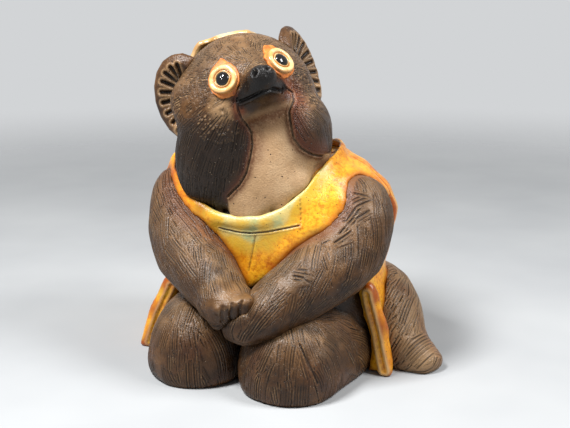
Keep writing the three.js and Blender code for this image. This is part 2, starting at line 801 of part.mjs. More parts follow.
function eyeRing(side, grow = 0) {
  const radius = (EYE_RING_DIAMETER - EYE_RING_WIDTH) / 2;
  const torus = new THREE.TorusGeometry(radius, EYE_RING_WIDTH / 2 + grow, 6, 18).rotateX(Math.PI / 2);
  const rise = SEAM + EYE_PATCH_CLAY + EYE_RING_WIDTH / 2 - EYE_RING_SUNK;
  return solidOf(torus, raisedEyeFrame(side, rise));
}

const eyeball = (side) =>
  ball({
    radii: [EYEBALL_DIAMETER / 2, EYEBALL_DIAMETER / 3.4, EYEBALL_DIAMETER / 2],
    columns: 12,
    rows: 6,
    frame: raisedEyeFrame(side, SEAM + EYE_PATCH_CLAY),
  });

const pupil = (side) =>
  ball({
    radii: [PUPIL_DIAMETER / 2, PUPIL_DIAMETER / 3.4, PUPIL_DIAMETER / 2],
    columns: 10,
    rows: 5,
    frame: raisedEyeFrame(side, SEAM + EYE_PATCH_CLAY + EYEBALL_DIAMETER / 3.4 - PUPIL_DIAMETER / 6),
  });

// Leaf: a lobed slab laid over the back of the crown

function leafForm() {
  const outline = (angle) => {
    const lobed = 0.92 + 0.08 * Math.cos(LEAF_LOBES * angle);
    const across = (LEAF_WIDTH / 2) * lobed * Math.cos(angle);
    return new THREE.Vector2(across, (LEAF_LENGTH / 2) * lobed * Math.sin(angle));
  };
  return slabOnSkull(frameOnSkull(LEAF_SIDE, LEAF_UP, true), LEAF_CLAY, outline, 3 * LEAF_LOBES);
}

// Colours of the fired clays and glazes
const FUR = "#4a3527";
const BARE_CLAY = "#b08a62";
const AMBER_GLAZE = "#d99a1f";
const CREAM_GLAZE = "#e6c58a";
const ORANGE_CLAY = "#b8611f";
const BLACK_SLIP = "#17130f";

export default (() => {
  const figure = new THREE.Group();

  const clay = (name, color, roughness, solid) => {
    const material = new THREE.MeshStandardMaterial({ color, roughness, metalness: 0 });
    const mesh = new THREE.Mesh(geometryOf(solid), material);
    mesh.name = name;
    figure.add(mesh);
  };

  // The room that each piece takes out of the ones laid on after it
  const body = bodyForm(SEAM);
  const neckline = necklineForm(SEAM);
  const handRight = handRightForm(SEAM);
  const armLeft = armLeftForm(SEAM);
  const armRight = armRightForm(SEAM);
  const handLeft = handLeftForm(SEAM);
  const thighLeft = thighLeftForm(SEAM);
  const thighRight = thighRightForm(SEAM);
  const skull = skullForm(SEAM);
  const throat = throatForm(SEAM);
  const jowlLeft = jowlLeftForm(SEAM);
  const jowlRight = jowlRightForm(SEAM);
  const earLeft = earForm(1)(SEAM);
  const earRight = earForm(-1)(SEAM);
  const snout = snoutForm(SEAM);
  const lap = [armLeft, armRight, handRight, handLeft];
  const limbs = [...lap, thighLeft, thighRight];
  const face = [skull, throat, jowlLeft, jowlRight];

  clay("body", "#5a4636", 0.9, bodyShell());

  clay("hand_right", FUR, 0.6, trimmed(handRightForm(), body));
  clay("arm_left", FUR, 0.8, trimmed(armLeftForm(), body, handRight, neckline));
  clay("arm_right", FUR, 0.8, trimmed(armRightForm(), body, handRight, armLeft, neckline));
  clay("hand_left", FUR, 0.7, trimmed(handLeftForm(), body, handRight, armLeft, armRight));
  clay("thigh_left", FUR, 0.8, trimmed(thighLeftForm().intersect(aboveFloor), body, ...lap));
  clay("thigh_right", FUR, 0.8, trimmed(thighRightForm().intersect(aboveFloor), body, thighLeft, ...lap));

  const flapLeftForm = flapForm(1, FLAP_LEFT_HEIGHT);
  const flapRightForm = flapForm(-1, FLAP_RIGHT_HEIGHT);
  const flaps = [flapLeftForm(SEAM), flapRightForm(SEAM)];
  clay("hem_flap_left", AMBER_GLAZE, 0.35, trimmed(flapLeftForm().intersect(aboveFloor), body, ...limbs));
  clay("hem_flap_right", AMBER_GLAZE, 0.35, trimmed(flapRightForm().intersect(aboveFloor), body, ...limbs));

  const cloth = robeForm().intersect(aboveFloor).subtract(body);
  const opening = [neckline, neckOpening(), ...face];
  clay("robe_back", AMBER_GLAZE, 0.35, trimmed(cloth.intersect(backPanel()), ...limbs, ...flaps, ...opening));
  clay("robe_front", AMBER_GLAZE, 0.35, trimmed(cloth.intersect(bib()), ...limbs, ...opening));
  clay("neckline", CREAM_GLAZE, 0.35, trimmed(necklineForm(), body));
  const beforeTail = [robeForm(SEAM), body, flaps[0], ...limbs];
  clay("tail", FUR, 0.8, trimmed(tailForm().intersect(aboveFloor), ...beforeTail));

  clay("skull", FUR, 0.8, trimmed(skullForm(), throat, body));
  clay("ear_left", FUR, 0.8, trimmed(earForm(1)(), earHollow(1), skull));
  clay("ear_right", FUR, 0.8, trimmed(earForm(-1)(), earHollow(-1), skull));
  const shoulders = [neckline, body, armRight];
  clay("jowl_right", FUR, 0.8, trimmed(jowlRightForm(), skull, earRight, ...shoulders));
  clay("jowl_left", FUR, 0.8, trimmed(jowlLeftForm(), skull, earLeft, jowlRight, ...shoulders));
  clay("throat", BARE_CLAY, 0.85, trimmed(throatForm(), jowlLeft, jowlRight, neckline, body));
  clay("snout", BLACK_SLIP, 0.5, trimmed(snoutForm(), nostril(1), nostril(-1), ...face));
  clay("jaw", BLACK_SLIP, 0.6, trimmed(jawForm(), snout, ...face));
  clay("leaf", AMBER_GLAZE, 0.4, trimmed(leafForm(), skull, earLeft, earRight));

  for (const [side, name] of [
    [1, "left"],
    [-1, "right"],
  ]) {
    const ring = eyeRing(side, SEAM);
    clay(`eye_patch_${name}`, ORANGE_CLAY, 0.7, trimmed(eyePatch(side), skull, snout, ring));
    clay(`eye_ring_${name}`, CREAM_GLAZE, 0.35, trimmed(eyeRing(side), skull));
    clay(`eyeball_${name}`, CREAM_GLAZE, 0.35, trimmed(eyeball(side)(), skull, ring, eyePatch(side)));
    clay(`pupil_${name}`, BLACK_SLIP, 0.15, trimmed(pupil(side)(), eyeball(side)(SEAM)));
  }

  // The figure stands on the middle of its footprint
  const middle = new THREE.Box3().setFromObject(figure).getCenter(at(0, 0, 0));
  figure.position.set(-middle.x, -middle.y, 0);
  return figure;
})();
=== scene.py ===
# A kneeling tanuki figurine in hand-built stoneware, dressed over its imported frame.
# It was pressed, combed, glazed and fired as one body, so each piece runs a little into the next.
# Lengths in the comments and the clay work are millimetres; those that Blender takes are metres.

import math

import bmesh
import bpy
import numpy as np
from mathutils import Matrix, Vector
from mathutils.bvhtree import BVHTree


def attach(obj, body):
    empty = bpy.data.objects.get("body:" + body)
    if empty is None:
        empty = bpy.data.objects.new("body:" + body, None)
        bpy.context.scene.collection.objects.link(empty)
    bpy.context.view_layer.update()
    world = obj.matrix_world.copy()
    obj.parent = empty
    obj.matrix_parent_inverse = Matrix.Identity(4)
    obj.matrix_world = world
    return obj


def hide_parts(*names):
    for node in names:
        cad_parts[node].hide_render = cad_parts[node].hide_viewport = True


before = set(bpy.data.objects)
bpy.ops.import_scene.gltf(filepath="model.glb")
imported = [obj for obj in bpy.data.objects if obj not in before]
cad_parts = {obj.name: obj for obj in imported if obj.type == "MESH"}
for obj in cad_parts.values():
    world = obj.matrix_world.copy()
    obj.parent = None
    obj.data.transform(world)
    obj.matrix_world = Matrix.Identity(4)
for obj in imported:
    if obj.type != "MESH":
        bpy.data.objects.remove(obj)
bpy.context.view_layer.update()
mm = 0.001


# Thighs
# Two heavy lumps of stoneware whose domed knees carry the front of the figure. The wet clay was combed
# from the top of each knee down to the floor, then washed with iron, which stayed dark in the strokes.

def fade(values, start, end):
    """0 before start, 1 after end, and a smooth ramp between them."""
    t = np.clip((values - start) / (end - start), 0, 1)
    return t * t * (3 - 2 * t)


def unit(vectors):
    """Vectors scaled to a length of 1."""
    vectors = np.asarray(vectors, float)
    return vectors / np.maximum(np.linalg.norm(vectors, axis=-1, keepdims=True), 1e-9)


def unevenness(points, size, rng):
    """A smooth random wave, mostly between -1 and 1, with hills size mm apart, as hand pressure leaves."""
    total = np.zeros(len(points))
    for _ in range(10):
        way = unit(rng.normal(size=3))
        total += np.sin(points @ way * (2 * math.pi / size) * rng.uniform(0.7, 1.3) + rng.uniform(0, 6.3))
    return total / 4


class Clay:
    """A closed skin round copies of frame nodes, with points in mm, to be smoothed, pressed and combed."""

    def __init__(self, name, nodes, grain, swell=0.7):
        # Each piece draws from a seed of its own, so a change to one leaves the others as they are
        self.rng = np.random.default_rng(len(name) * 7 + len(nodes))
        self.grain = grain
        self.piece = bpy.data.objects.new(name, bpy.data.meshes.new(name))
        bpy.context.collection.objects.link(self.piece)
        self.points = []
        self.paint = {}
        self.lay_on(nodes, swell)

    def lay_on(self, nodes, swell=0.7):
        """Adds copies of frame nodes, swollen so that slip joints close, and makes one skin of it all."""
        points = [Vector(point) * mm for point in self.points]
        faces = [face.vertices[:] for face in self.piece.data.polygons]
        for node in nodes:
            welded = bmesh.new()
            welded.from_mesh(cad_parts[node].data)
            bmesh.ops.remove_doubles(welded, verts=welded.verts, dist=1e-6)
            welded.normal_update()
            first = len(points)
            points += [corner.co + corner.normal * swell * mm for corner in welded.verts]
            faces += [[first + corner.index for corner in face.verts] for face in welded.faces]
            welded.free()
        mesh = bpy.data.meshes.new(self.piece.name)
        mesh.from_pydata(points, [], faces)
        self.piece.data = mesh
        self.rework("REMESH", mode="VOXEL", voxel_size=self.grain * mm)

    def rework(self, kind, **settings):
        """Runs one modifier on the skin and keeps its result, with the paint that it carries over."""
        self.keep_paint()
        modifier = self.piece.modifiers.new(kind.title(), kind)
        for name, value in settings.items():
            setattr(modifier, name, value)
        depsgraph = bpy.context.evaluated_depsgraph_get()
        mesh = bpy.data.meshes.new_from_object(self.piece.evaluated_get(depsgraph))
        self.piece.modifiers.clear()
        self.piece.data = mesh
        corners = np.empty(3 * len(mesh.vertices))
        mesh.vertices.foreach_get("co", corners)
        self.points = corners.reshape(-1, 3) / mm
        ends = np.empty(2 * len(mesh.edges), int)
        mesh.edges.foreach_get("vertices", ends)
        self.edges = ends.reshape(-1, 2)
        self.neighbours = np.bincount(ends, minlength=len(self.points))
        for name in list(self.paint):
            self.paint[name] = np.zeros(len(self.points), np.float32)
            if name in mesh.attributes:
                mesh.attributes[name].data.foreach_get("value", self.paint[name])

    def keep_paint(self):
        """Writes what is painted on the points into the mesh."""
        for name, values in self.paint.items():
            layers = self.piece.data.attributes
            layer = layers.get(name) or layers.new(name, "FLOAT", "POINT")
            layer.data.foreach_set("value", np.asarray(values, np.float32))

    def paint_on(self, name, values):
        """Paints values over what is there, and keeps the stronger."""
        self.paint[name] = np.maximum(self.paint.get(name, 0), values)

    def settle(self):
        """Writes the points back into the mesh and returns the skin's normals."""
        mesh = self.piece.data
        mesh.vertices.foreach_set("co", (self.points * mm).ravel())
        mesh.update()
        normals = np.empty(3 * len(self.points))
        mesh.vertices.foreach_get("normal", normals)
        return normals.reshape(-1, 3)

    def around(self, values):
        """The mean of each point's neighbours, for one value or three values a point."""
        a, b = self.edges.T
        columns = values.reshape(len(values), -1).T
        sums = [np.bincount(a, v[b], len(v)) + np.bincount(b, v[a], len(v)) for v in columns]
        return (np.stack(sums, 1) / self.neighbours[:, None]).reshape(values.shape)

    def smooth(self, times, where=1.0):
        """Strokes the skin with a wet finger."""
        share = 0.5 * np.broadcast_to(where, len(self.points))[:, None]
        for _ in range(times):
            self.points += share * (self.around(self.points) - self.points)

    def standing(self, times):
        """How many mm each point stands above the skin round it: more rounds look further round."""
        normals = self.settle()
        softened = self.points
        for _ in range(times):
            softened = softened + 0.5 * (self.around(softened) - softened)
        return ((self.points - softened) * normals).sum(1)

    def refine(self):
        """Halves the grain of the skin."""
        self.settle()
        self.rework("SUBSURF", levels=1)

    def press(self, centre, radius, height, toward=None):
        """Pushes the skin out (or in, below 0) round a centre, along its normals or one direction."""
        way = self.settle() if toward is None else unit(toward)
        self.points += (height * np.exp(-((self.gap_from(centre) / radius) ** 2)))[:, None] * way

    def gap_to(self, *nodes, far=12):
        """Distance in mm from each point to the nearest of some frame nodes, up to far."""
        gaps = np.full(len(self.points), float(far))
        for node in nodes:
            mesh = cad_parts[node].data
            corners = [corner.co / mm for corner in mesh.vertices]
            tree = BVHTree.FromPolygons(corners, [face.vertices[:] for face in mesh.polygons])
            near = [tree.find_nearest(point, far)[3] for point in self.points.tolist()]
            gaps = np.minimum(gaps, [far if gap is None else gap for gap in near])
        return gaps

    def gap_from(self, *places):
        """Distance in mm from each point to the nearest of some places."""
        return np.min([np.linalg.norm(self.points - np.array(place, float), axis=1) for place in places], 0)

    def swell(self, height):
        """Moves the whole skin out along its normals, or in."""
        self.points += height * self.settle()

    def stand(self):
        """Flattens what reaches through the floor."""
        self.points[:, 2] = np.maximum(self.points[:, 2], 0.0)

    def onto(self, line, step=2.5):
        """A line of points laid on the skin, with a point every few mm."""
        line = np.asarray(line, float)
        laid = []
        for a, b in zip(line[:-1], line[1:]):
            count = max(1, round(np.linalg.norm(b - a) / step))
            laid += [a + (b - a) * k / count for k in range(count)]
        laid.append(line[-1])
        normals = self.settle()
        for k, place in enumerate(laid):
            near = ((self.points - place) ** 2).sum(1).argmin()
            laid[k] = place - ((place - self.points[near]) @ normals[near]) * normals[near]
        return np.array(laid)

    def gap_to_line(self, line):
        """Distance in mm from each point to a line of points."""
        gap = np.full(len(self.points), 1e9)
        for a, b in zip(line[:-1], line[1:]):
            share = np.clip((self.points - a) @ (b - a) / max((b - a) @ (b - a), 1e-9), 0, 1)
            gap = np.minimum(gap, np.linalg.norm(self.points - a - share[:, None] * (b - a), axis=1))
        return gap

    def score(self, line, width=1.0, depth=1.0, lip=0.0, paint=1.0):
        """Cuts a line into the skin with a loop tool, which throws up a lip beside it. It paints the cut
        darker and paints a highlight along the lip.
        """
        gap = self.gap_to_line(self.onto(line))
        cut = np.exp(-((gap / (0.5 * width)) ** 2))
        edge = np.exp(-(((gap - 0.95 * width) / (0.4 * width)) ** 2))
        self.points += (lip * edge - depth * cut)[:, None] * self.settle()
        self.paint_on("stroke", paint * cut)
        self.paint_on("wear_and_highlight", 0.6 * edge * min(1.0, 2 * lip))

    def comb(
        self, flow, tooth=1.6, depth=0.45, length=(16, 34), teeth=(4, 8), cover=3.2, turn=10, where=None
    ):
        """Draws a small comb over the skin again and again; each pass wipes out what it crosses. It paints
        the strokes, as hair the number of the tooth that each point lies under, and as drawn where that
        number holds. Lengths are in mm, turn is the spread of the passes in degrees, and cover says how
        often the skin is gone over."""
        normals = self.settle()
        flows = flow(self.points)
        allowed = np.ones(len(self.points)) if where is None else where
        strokes = np.zeros(len(self.points))
        hair = np.zeros(len(self.points))
        last = np.zeros(len(self.points), int)
        a, b = self.edges.T
        grain = np.linalg.norm(self.points[a] - self.points[b], axis=1).mean()
        area = len(self.points) * grain**2
        passes = int(cover * area / (np.mean(length) * np.mean(teeth) * tooth))
        for number, start in enumerate(self.rng.choice(len(self.points), passes)):
            if allowed[start] < 0.3:
                continue

            # Where the comb is set down, which way it is drawn, how far, and with how many teeth
            centre, up = self.points[start], normals[start]
            along = unit(flows[start] - up * (flows[start] @ up))
            aside = np.cross(up, along)
            lean = math.radians(self.rng.normal(0, turn))
            along, aside = (
                math.cos(lean) * along + math.sin(lean) * aside,
                math.cos(lean) * aside - math.sin(lean) * along,
            )
            run = self.rng.uniform(*length)
            count = self.rng.integers(teeth[0], teeth[1] + 1)

            # The points under it: u mm along the pass and s mm aside, which bends a little as a hand does
            reach = 0.5 * math.hypot(run, count * tooth) + 2
            near = np.nonzero(np.abs(self.points - centre).max(1) < reach)[0]
            near = near[(normals[near] @ up) > 0.35]
            offset = self.points[near] - centre
            u = offset @ along
            s = offset @ aside + self.rng.normal(0, 0.004) * u * u
            under = s / tooth + (count - 1) / 2
            index = np.clip(np.round(under), 0, count - 1).astype(int)

            # No two teeth begin, end or bite alike
            begin = -run / 2 + self.rng.uniform(0, 0.2 * run, count)[index]
            finish = run / 2 - self.rng.uniform(0, 0.35 * run, count)[index]
            bite = self.rng.uniform(0.1, 1.3, count)[index]
            on = fade(u, begin - 1, begin + 1.5) * (1 - fade(u, finish - 6, finish + 0.5))
            inside = on * (np.abs(under - index) < 0.7)
            groove = bite * np.exp(-((np.abs(under - index) / 0.22) ** 1.7))
            strokes[near] = strokes[near] * (1 - inside) + inside * groove
            hair[near] = np.where(inside > 0.3, under + 10 * self.rng.integers(1, 50), hair[near])
            last[near] = np.where(inside > 0.3, number + 1, last[near])
        strokes *= allowed
        self.points += (depth * (0.3 * allowed - strokes))[:, None] * normals
        self.paint_on("stroke", 0.85 * np.clip(strokes, 0, 1))
        here = (last > 0) & (allowed > 0.3)
        edge = np.bincount(self.edges[last[a] != last[b]].ravel(), minlength=len(last))
        for name, values in (("hair", hair), ("drawn", (edge == 0) * allowed)):
            self.paint[name] = np.where(here, values, self.paint.get(name, 0 * values))

    def wear_and_top_light(self, share=0.85, painted_top_light=0.24):
        """Paints the ridges that hands have rubbed lighter, and painted light from above, patchy, on what
        faces up.
        """
        self.paint_on("wear_and_highlight", share * fade(self.standing(3), 0.03, 0.25))
        patchy = 0.8 + 0.3 * unevenness(self.points, 9, self.rng)
        self.paint_on("wear_and_highlight", painted_top_light * patchy * fade(self.settle()[:, 2], 0.1, 0.95))

    def fire(self, material, slot, *stands_for):
        """Keeps the skin as a finished piece in the place of its frame nodes."""
        self.settle()
        self.keep_paint()
        mesh = self.piece.data
        mesh.polygons.foreach_set("use_smooth", np.ones(len(mesh.polygons), bool))
        mesh.materials.clear()
        mesh.materials.append(material)
        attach(self.piece, "root")
        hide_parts(*stands_for)


def linear(code):
    """A colour written in sRGB hex as the linear values that a shader takes."""
    channels = [int(code[i : i + 2], 16) / 255 for i in (1, 3, 5)]
    return [c / 12.92 if c <= 0.04045 else ((c + 0.055) / 1.055) ** 2.4 for c in channels] + [1]


def add(material, kind, inputs=None, stops=None, **settings):
    """Adds a shader node: inputs, by name or place, are values or other nodes' sockets; stops are the
    colours of a ramp, as sRGB hex or as a share of white."""
    made = material.node_tree.nodes.new("ShaderNode" + kind)
    for name, value in settings.items():
        setattr(made, name, value)
    for place, code in enumerate(stops or []):
        at, colour = code
        stop = made.color_ramp.elements[place] if place < 2 else made.color_ramp.elements.new(at)
        stop.position = at
        stop.color = linear(colour) if isinstance(colour, str) else [colour, colour, colour, 1]
    for name, value in (inputs or {}).items():
        if isinstance(value, bpy.types.NodeSocket):
            material.node_tree.links.new(value, made.inputs[name])
        else:
            made.inputs[name].default_value = linear(value) if isinstance(value, str) else value
    return made


def bare_material(name):
    """A new material with no nodes but its output."""
    material = bpy.data.materials.new(name)
    material.use_nodes = True
    material.node_tree.nodes.clear()
    return material


def finish_material(material, shader, bump):
    """Joins a shader to the output, with a bump height in metres on its normal."""
    tree = material.node_tree
    if bump is not None:
        relief = add(material, "Bump", {"Height": bump, "Strength": 1.0, "Distance": 1.0})
        tree.links.new(relief.outputs["Normal"], shader.inputs["Normal"])
    out = tree.nodes.new("ShaderNodeOutputMaterial")
    tree.links.new(shader.outputs[0], out.inputs["Surface"])
    return material


def combed_iron_stoneware():
    """Combed stoneware under an iron wash, wood-fired to a satin: chocolate with nearly black strokes and
    ridges rubbed to tan, with painted highlights on ridges, lips and what faces up, and painted shade where
    parts lie in shadow and in deep gouges. Pinholes and pale grains of feldspar break its skin. Where no
    wash was laid, on the throat, the sandy clay shows, with iron bled into its edges and painted shade
    under the chin."""
    m = bare_material("combed_iron_stoneware")
    place = add(m, "TexCoord").outputs["Object"]
    painted = {
        name: add(m, "Attribute", attribute_name=name).outputs["Fac"]
        for name in ("stroke", "hair", "drawn", "painted_shade", "warm", "slip", "wear_and_highlight", "bare", "throat_stain_and_shade")
    }
    patches = add(m, "TexNoise", {"Vector": place, "Scale": 1 / (18 * mm), "Detail": 5.0, "Roughness": 0.6})
    skin = add(
        m, "ValToRGB", {"Fac": patches.outputs["Fac"]},
        stops=[(0.3, "#29180B"), (0.5, "#4D321A"), (0.7, "#694725")],
    ).outputs["Color"]
    dust = add(m, "TexNoise", {"Vector": place, "Scale": 1 / (1.5 * mm), "Detail": 3.0, "Roughness": 0.7})
    grainy = add(
        m, "ValToRGB", {"Fac": dust.outputs["Fac"]}, stops=[(0.35, 0.5), (0.65, 1.0)]
    ).outputs["Color"]
    skin = add(m, "Mix", {0: 0.55, 6: skin, 7: grainy}, data_type="RGBA", blend_type="MULTIPLY").outputs[2]

    # Each tooth of the comb left a thin line in the middle of its stroke, some deeper than others
    beside = add(m, "Math", {0: painted["hair"], 1: 0.5}, operation="PINGPONG").outputs[0]
    line = add(
        m, "MapRange", {0: beside, 1: 0.05, 2: 0.2, 3: 1.0, 4: 0.0}, interpolation_type="SMOOTHSTEP"
    ).outputs[0]
    tooth = add(m, "Math", {0: painted["hair"]}, operation="ROUND").outputs[0]
    bite = add(m, "TexWhiteNoise", {"W": tooth}, noise_dimensions="1D").outputs["Value"]
    line = add(m, "Math", {0: line, 1: bite}, operation="MULTIPLY").outputs[0]
    scratches = add(
        m, "TexNoise", {"W": painted["hair"], "Scale": 3.2, "Detail": 1.0}, noise_dimensions="1D"
    ).outputs["Fac"]
    scratch = add(m, "MapRange", {0: scratches, 1: 0.5, 2: 0.36, 3: 0.0, 4: 0.5}).outputs[0]
    line = add(m, "Math", {0: line, 1: scratch}, operation="MAXIMUM").outputs[0]
    line = add(m, "Math", {0: line, 1: painted["drawn"]}, operation="MULTIPLY").outputs[0]
    faint = add(m, "Math", {0: line, 1: 0.75}, operation="MULTIPLY").outputs[0]
    # Rubbed ridges with painted highlights, warm iron, comb lines, painted shade where parts lie in shadow,
    # and iron in the strokes with painted shade in gouges and pits
    for share, colour in (
        (painted["wear_and_highlight"], "#C39D72"), (painted["warm"], "#6A3216"), (faint, "#140C06"),
        (painted["painted_shade"], "#120B06"), (painted["stroke"], "#120B06"),
    ):
        skin = add(m, "Mix", {0: share, 6: skin, 7: colour}, data_type="RGBA").outputs[2]

    sand = add(
        m, "ValToRGB", {"Fac": patches.outputs["Fac"]},
        stops=[(0.3, "#9C7C58"), (0.5, "#B08E69"), (0.7, "#C2A27D")],
    ).outputs["Color"]
    sand = add(m, "Mix", {0: 0.35, 6: sand, 7: grainy}, data_type="RGBA", blend_type="MULTIPLY").outputs[2]
    blotch = add(m, "Math", {0: dust.outputs["Fac"], 1: 1.6, 2: -0.8}, operation="MULTIPLY_ADD").outputs[0]
    # Iron bled into the throat's edges, with painted shade under the chin and beside the right jowl, broken
    # up by the grain
    bled_and_shaded = add(m, "Math", {0: painted["throat_stain_and_shade"], 1: blotch}, operation="ADD", use_clamp=True).outputs[0]
    bled_and_shaded = add(m, "Math", {0: bled_and_shaded, 1: painted["throat_stain_and_shade"]}, operation="MULTIPLY", use_clamp=True).outputs[0]
    sand = add(m, "Mix", {0: bled_and_shaded, 6: sand, 7: "#5A3820"}, data_type="RGBA").outputs[2]
    marked = add(m, "Math", {0: painted["stroke"], 1: 0.8}, operation="MULTIPLY").outputs[0]
    sand = add(m, "Mix", {0: marked, 6: sand, 7: "#2A1A10"}, data_type="RGBA").outputs[2]
    skin = add(m, "Mix", {0: painted["bare"], 6: skin, 7: sand}, data_type="RGBA").outputs[2]
    skin = add(m, "Mix", {0: painted["slip"], 6: skin, 7: "#0C0806"}, data_type="RGBA").outputs[2]

    cells = add(m, "TexVoronoi", {"Vector": place, "Scale": 1 / (4.2 * mm), "Randomness": 1.0})
    pinhole = add(
        m, "ValToRGB", {"Fac": cells.outputs["Distance"]}, stops=[(0.07, 1.0), (0.12, 0.0)]
    ).outputs["Color"]
    skin = add(m, "Mix", {0: pinhole, 6: skin, 7: "#15100D"}, data_type="RGBA").outputs[2]
    grains = add(m, "TexVoronoi", {"Vector": place, "Scale": 1 / (3.1 * mm), "Randomness": 1.0})
    speck = add(
        m, "ValToRGB", {"Fac": grains.outputs["Distance"]}, stops=[(0.05, 0.6), (0.09, 0.0)]
    ).outputs["Color"]
    skin = add(m, "Mix", {0: speck, 6: skin, 7: "#B8A58C"}, data_type="RGBA").outputs[2]

    rough = add(m, "MapRange", {0: dust.outputs["Fac"], 1: 0.3, 2: 0.7, 3: 0.26, 4: 0.46}).outputs[0]
    matt = add(m, "Math", {0: painted["bare"], 1: 0.25, 2: rough}, operation="MULTIPLY_ADD").outputs[0]
    grit = add(m, "TexNoise", {"Vector": place, "Scale": 1 / (0.9 * mm), "Detail": 2.0}).outputs["Fac"]
    height = add(m, "Math", {0: grit, 1: 0.32 * mm}, operation="MULTIPLY").outputs[0]
    height = add(m, "Math", {0: pinhole, 1: -0.3 * mm, 2: height}, operation="MULTIPLY_ADD").outputs[0]
    height = add(m, "Math", {0: line, 1: -0.3 * mm, 2: height}, operation="MULTIPLY_ADD").outputs[0]
    shader = add(m, "BsdfPrincipled", {"Base Color": skin, "Roughness": matt, "IOR": 1.36})
    return finish_material(m, shader, height)


fur_clay = combed_iron_stoneware()

# The point that the strokes fan out from, and the gash in one knee
knee_tops = {"left": (20, -58, 62), "right": (-50, -48, 62)}
knee_gash = [(30.5, -71, 37), (37, -73, 26), (42, -72, 15)]
for side, other in (("left", "right"), ("right", "left")):
    thigh = Clay(f"combed_thigh_{side}", [f"thigh_{side}"], grain=1.1)
    thigh.smooth(40)
    thigh.points += 0.5 * unevenness(thigh.points, 26, thigh.rng)[:, None] * thigh.settle()
    # Painted shade on the inner side of each thigh, where it lies against the other thigh and the body
    thigh.paint["painted_shade"] = 0.9 * (1 - fade(thigh.gap_to(f"thigh_{other}", "body"), 1, 9))
    thigh.paint["warm"] = 0.15 * fade(unevenness(thigh.points, 30, thigh.rng), 0, 1)
    thigh.refine()
    thigh.comb(lambda points, top=knee_tops[side]: points - np.array(top, float), turn=8)
    if side == "left":
        thigh.score(knee_gash, width=1.3, depth=0.8)
    thigh.stand()
    thigh.wear_and_top_light(share=0.7)
    thigh.fire(fur_clay, "fur_clay", f"thigh_{side}")


# Tail
# A thick brush of clay that is luted to the rump and curls round the left side, so that its tip lies
# on the floor. Long strokes of the comb cross it and turn over at the tip.

tail = Clay("combed_tail", ["tail"], grain=1.05)
tail.smooth(30)
tail.refine()


def tail_flow(points):
    """Up and outwards, steeper near the rump than at the tip."""
    lean = fade(points[:, 0], 60, 95)
    return np.stack([0.4 + 0.4 * lean, 0.3 + 0 * lean, 0.9 - 0.25 * lean], 1)


tail.paint["warm"] = 0.3 * fade(unevenness(tail.points, 30, tail.rng), 0, 1)
# The whole tail is painted lighter, patchily, as painted light where the lamps fall on it
tail.paint["wear_and_highlight"] = 0.4 + 0.1 * unevenness(tail.points, 24, tail.rng)
tail.comb(tail_flow, tooth=2.0, depth=0.5, length=(16, 30), teeth=(4, 7), cover=5, turn=10)
tail.stand()
tail.wear_and_top_light(share=0.9)
tail.fire(fur_clay, "fur_clay", "tail")


# Body
# The press-moulded trunk, open underneath. Only its lap and the sides under the arms show, in the same
# iron-washed clay as the fur, with painted shade all over it, as it lies in shadow.

trunk = Clay("pressed_trunk", ["body"], grain=1.6, swell=0.0)
trunk.smooth(6)
trunk.points += 0.5 * unevenness(trunk.points, 14, trunk.rng)[:, None] * trunk.settle()
# Painted shade over the whole trunk, patchy, as it shows only in shadow
trunk.paint["painted_shade"] = 0.55 + 0.2 * unevenness(trunk.points, 20, trunk.rng)
trunk.stand()
trunk.fire(fur_clay, "bare_clay", "body")


# Robe
# A slab of clay wrapped round the body, with a bib in front, wide armholes and a flap that hangs to the
# floor beside each thigh. It is glazed amber, which breaks to orange-brown on its edges, and a pale
# ash glaze pools along the neck. Seams are scored in the bib, and a groove in each flap.

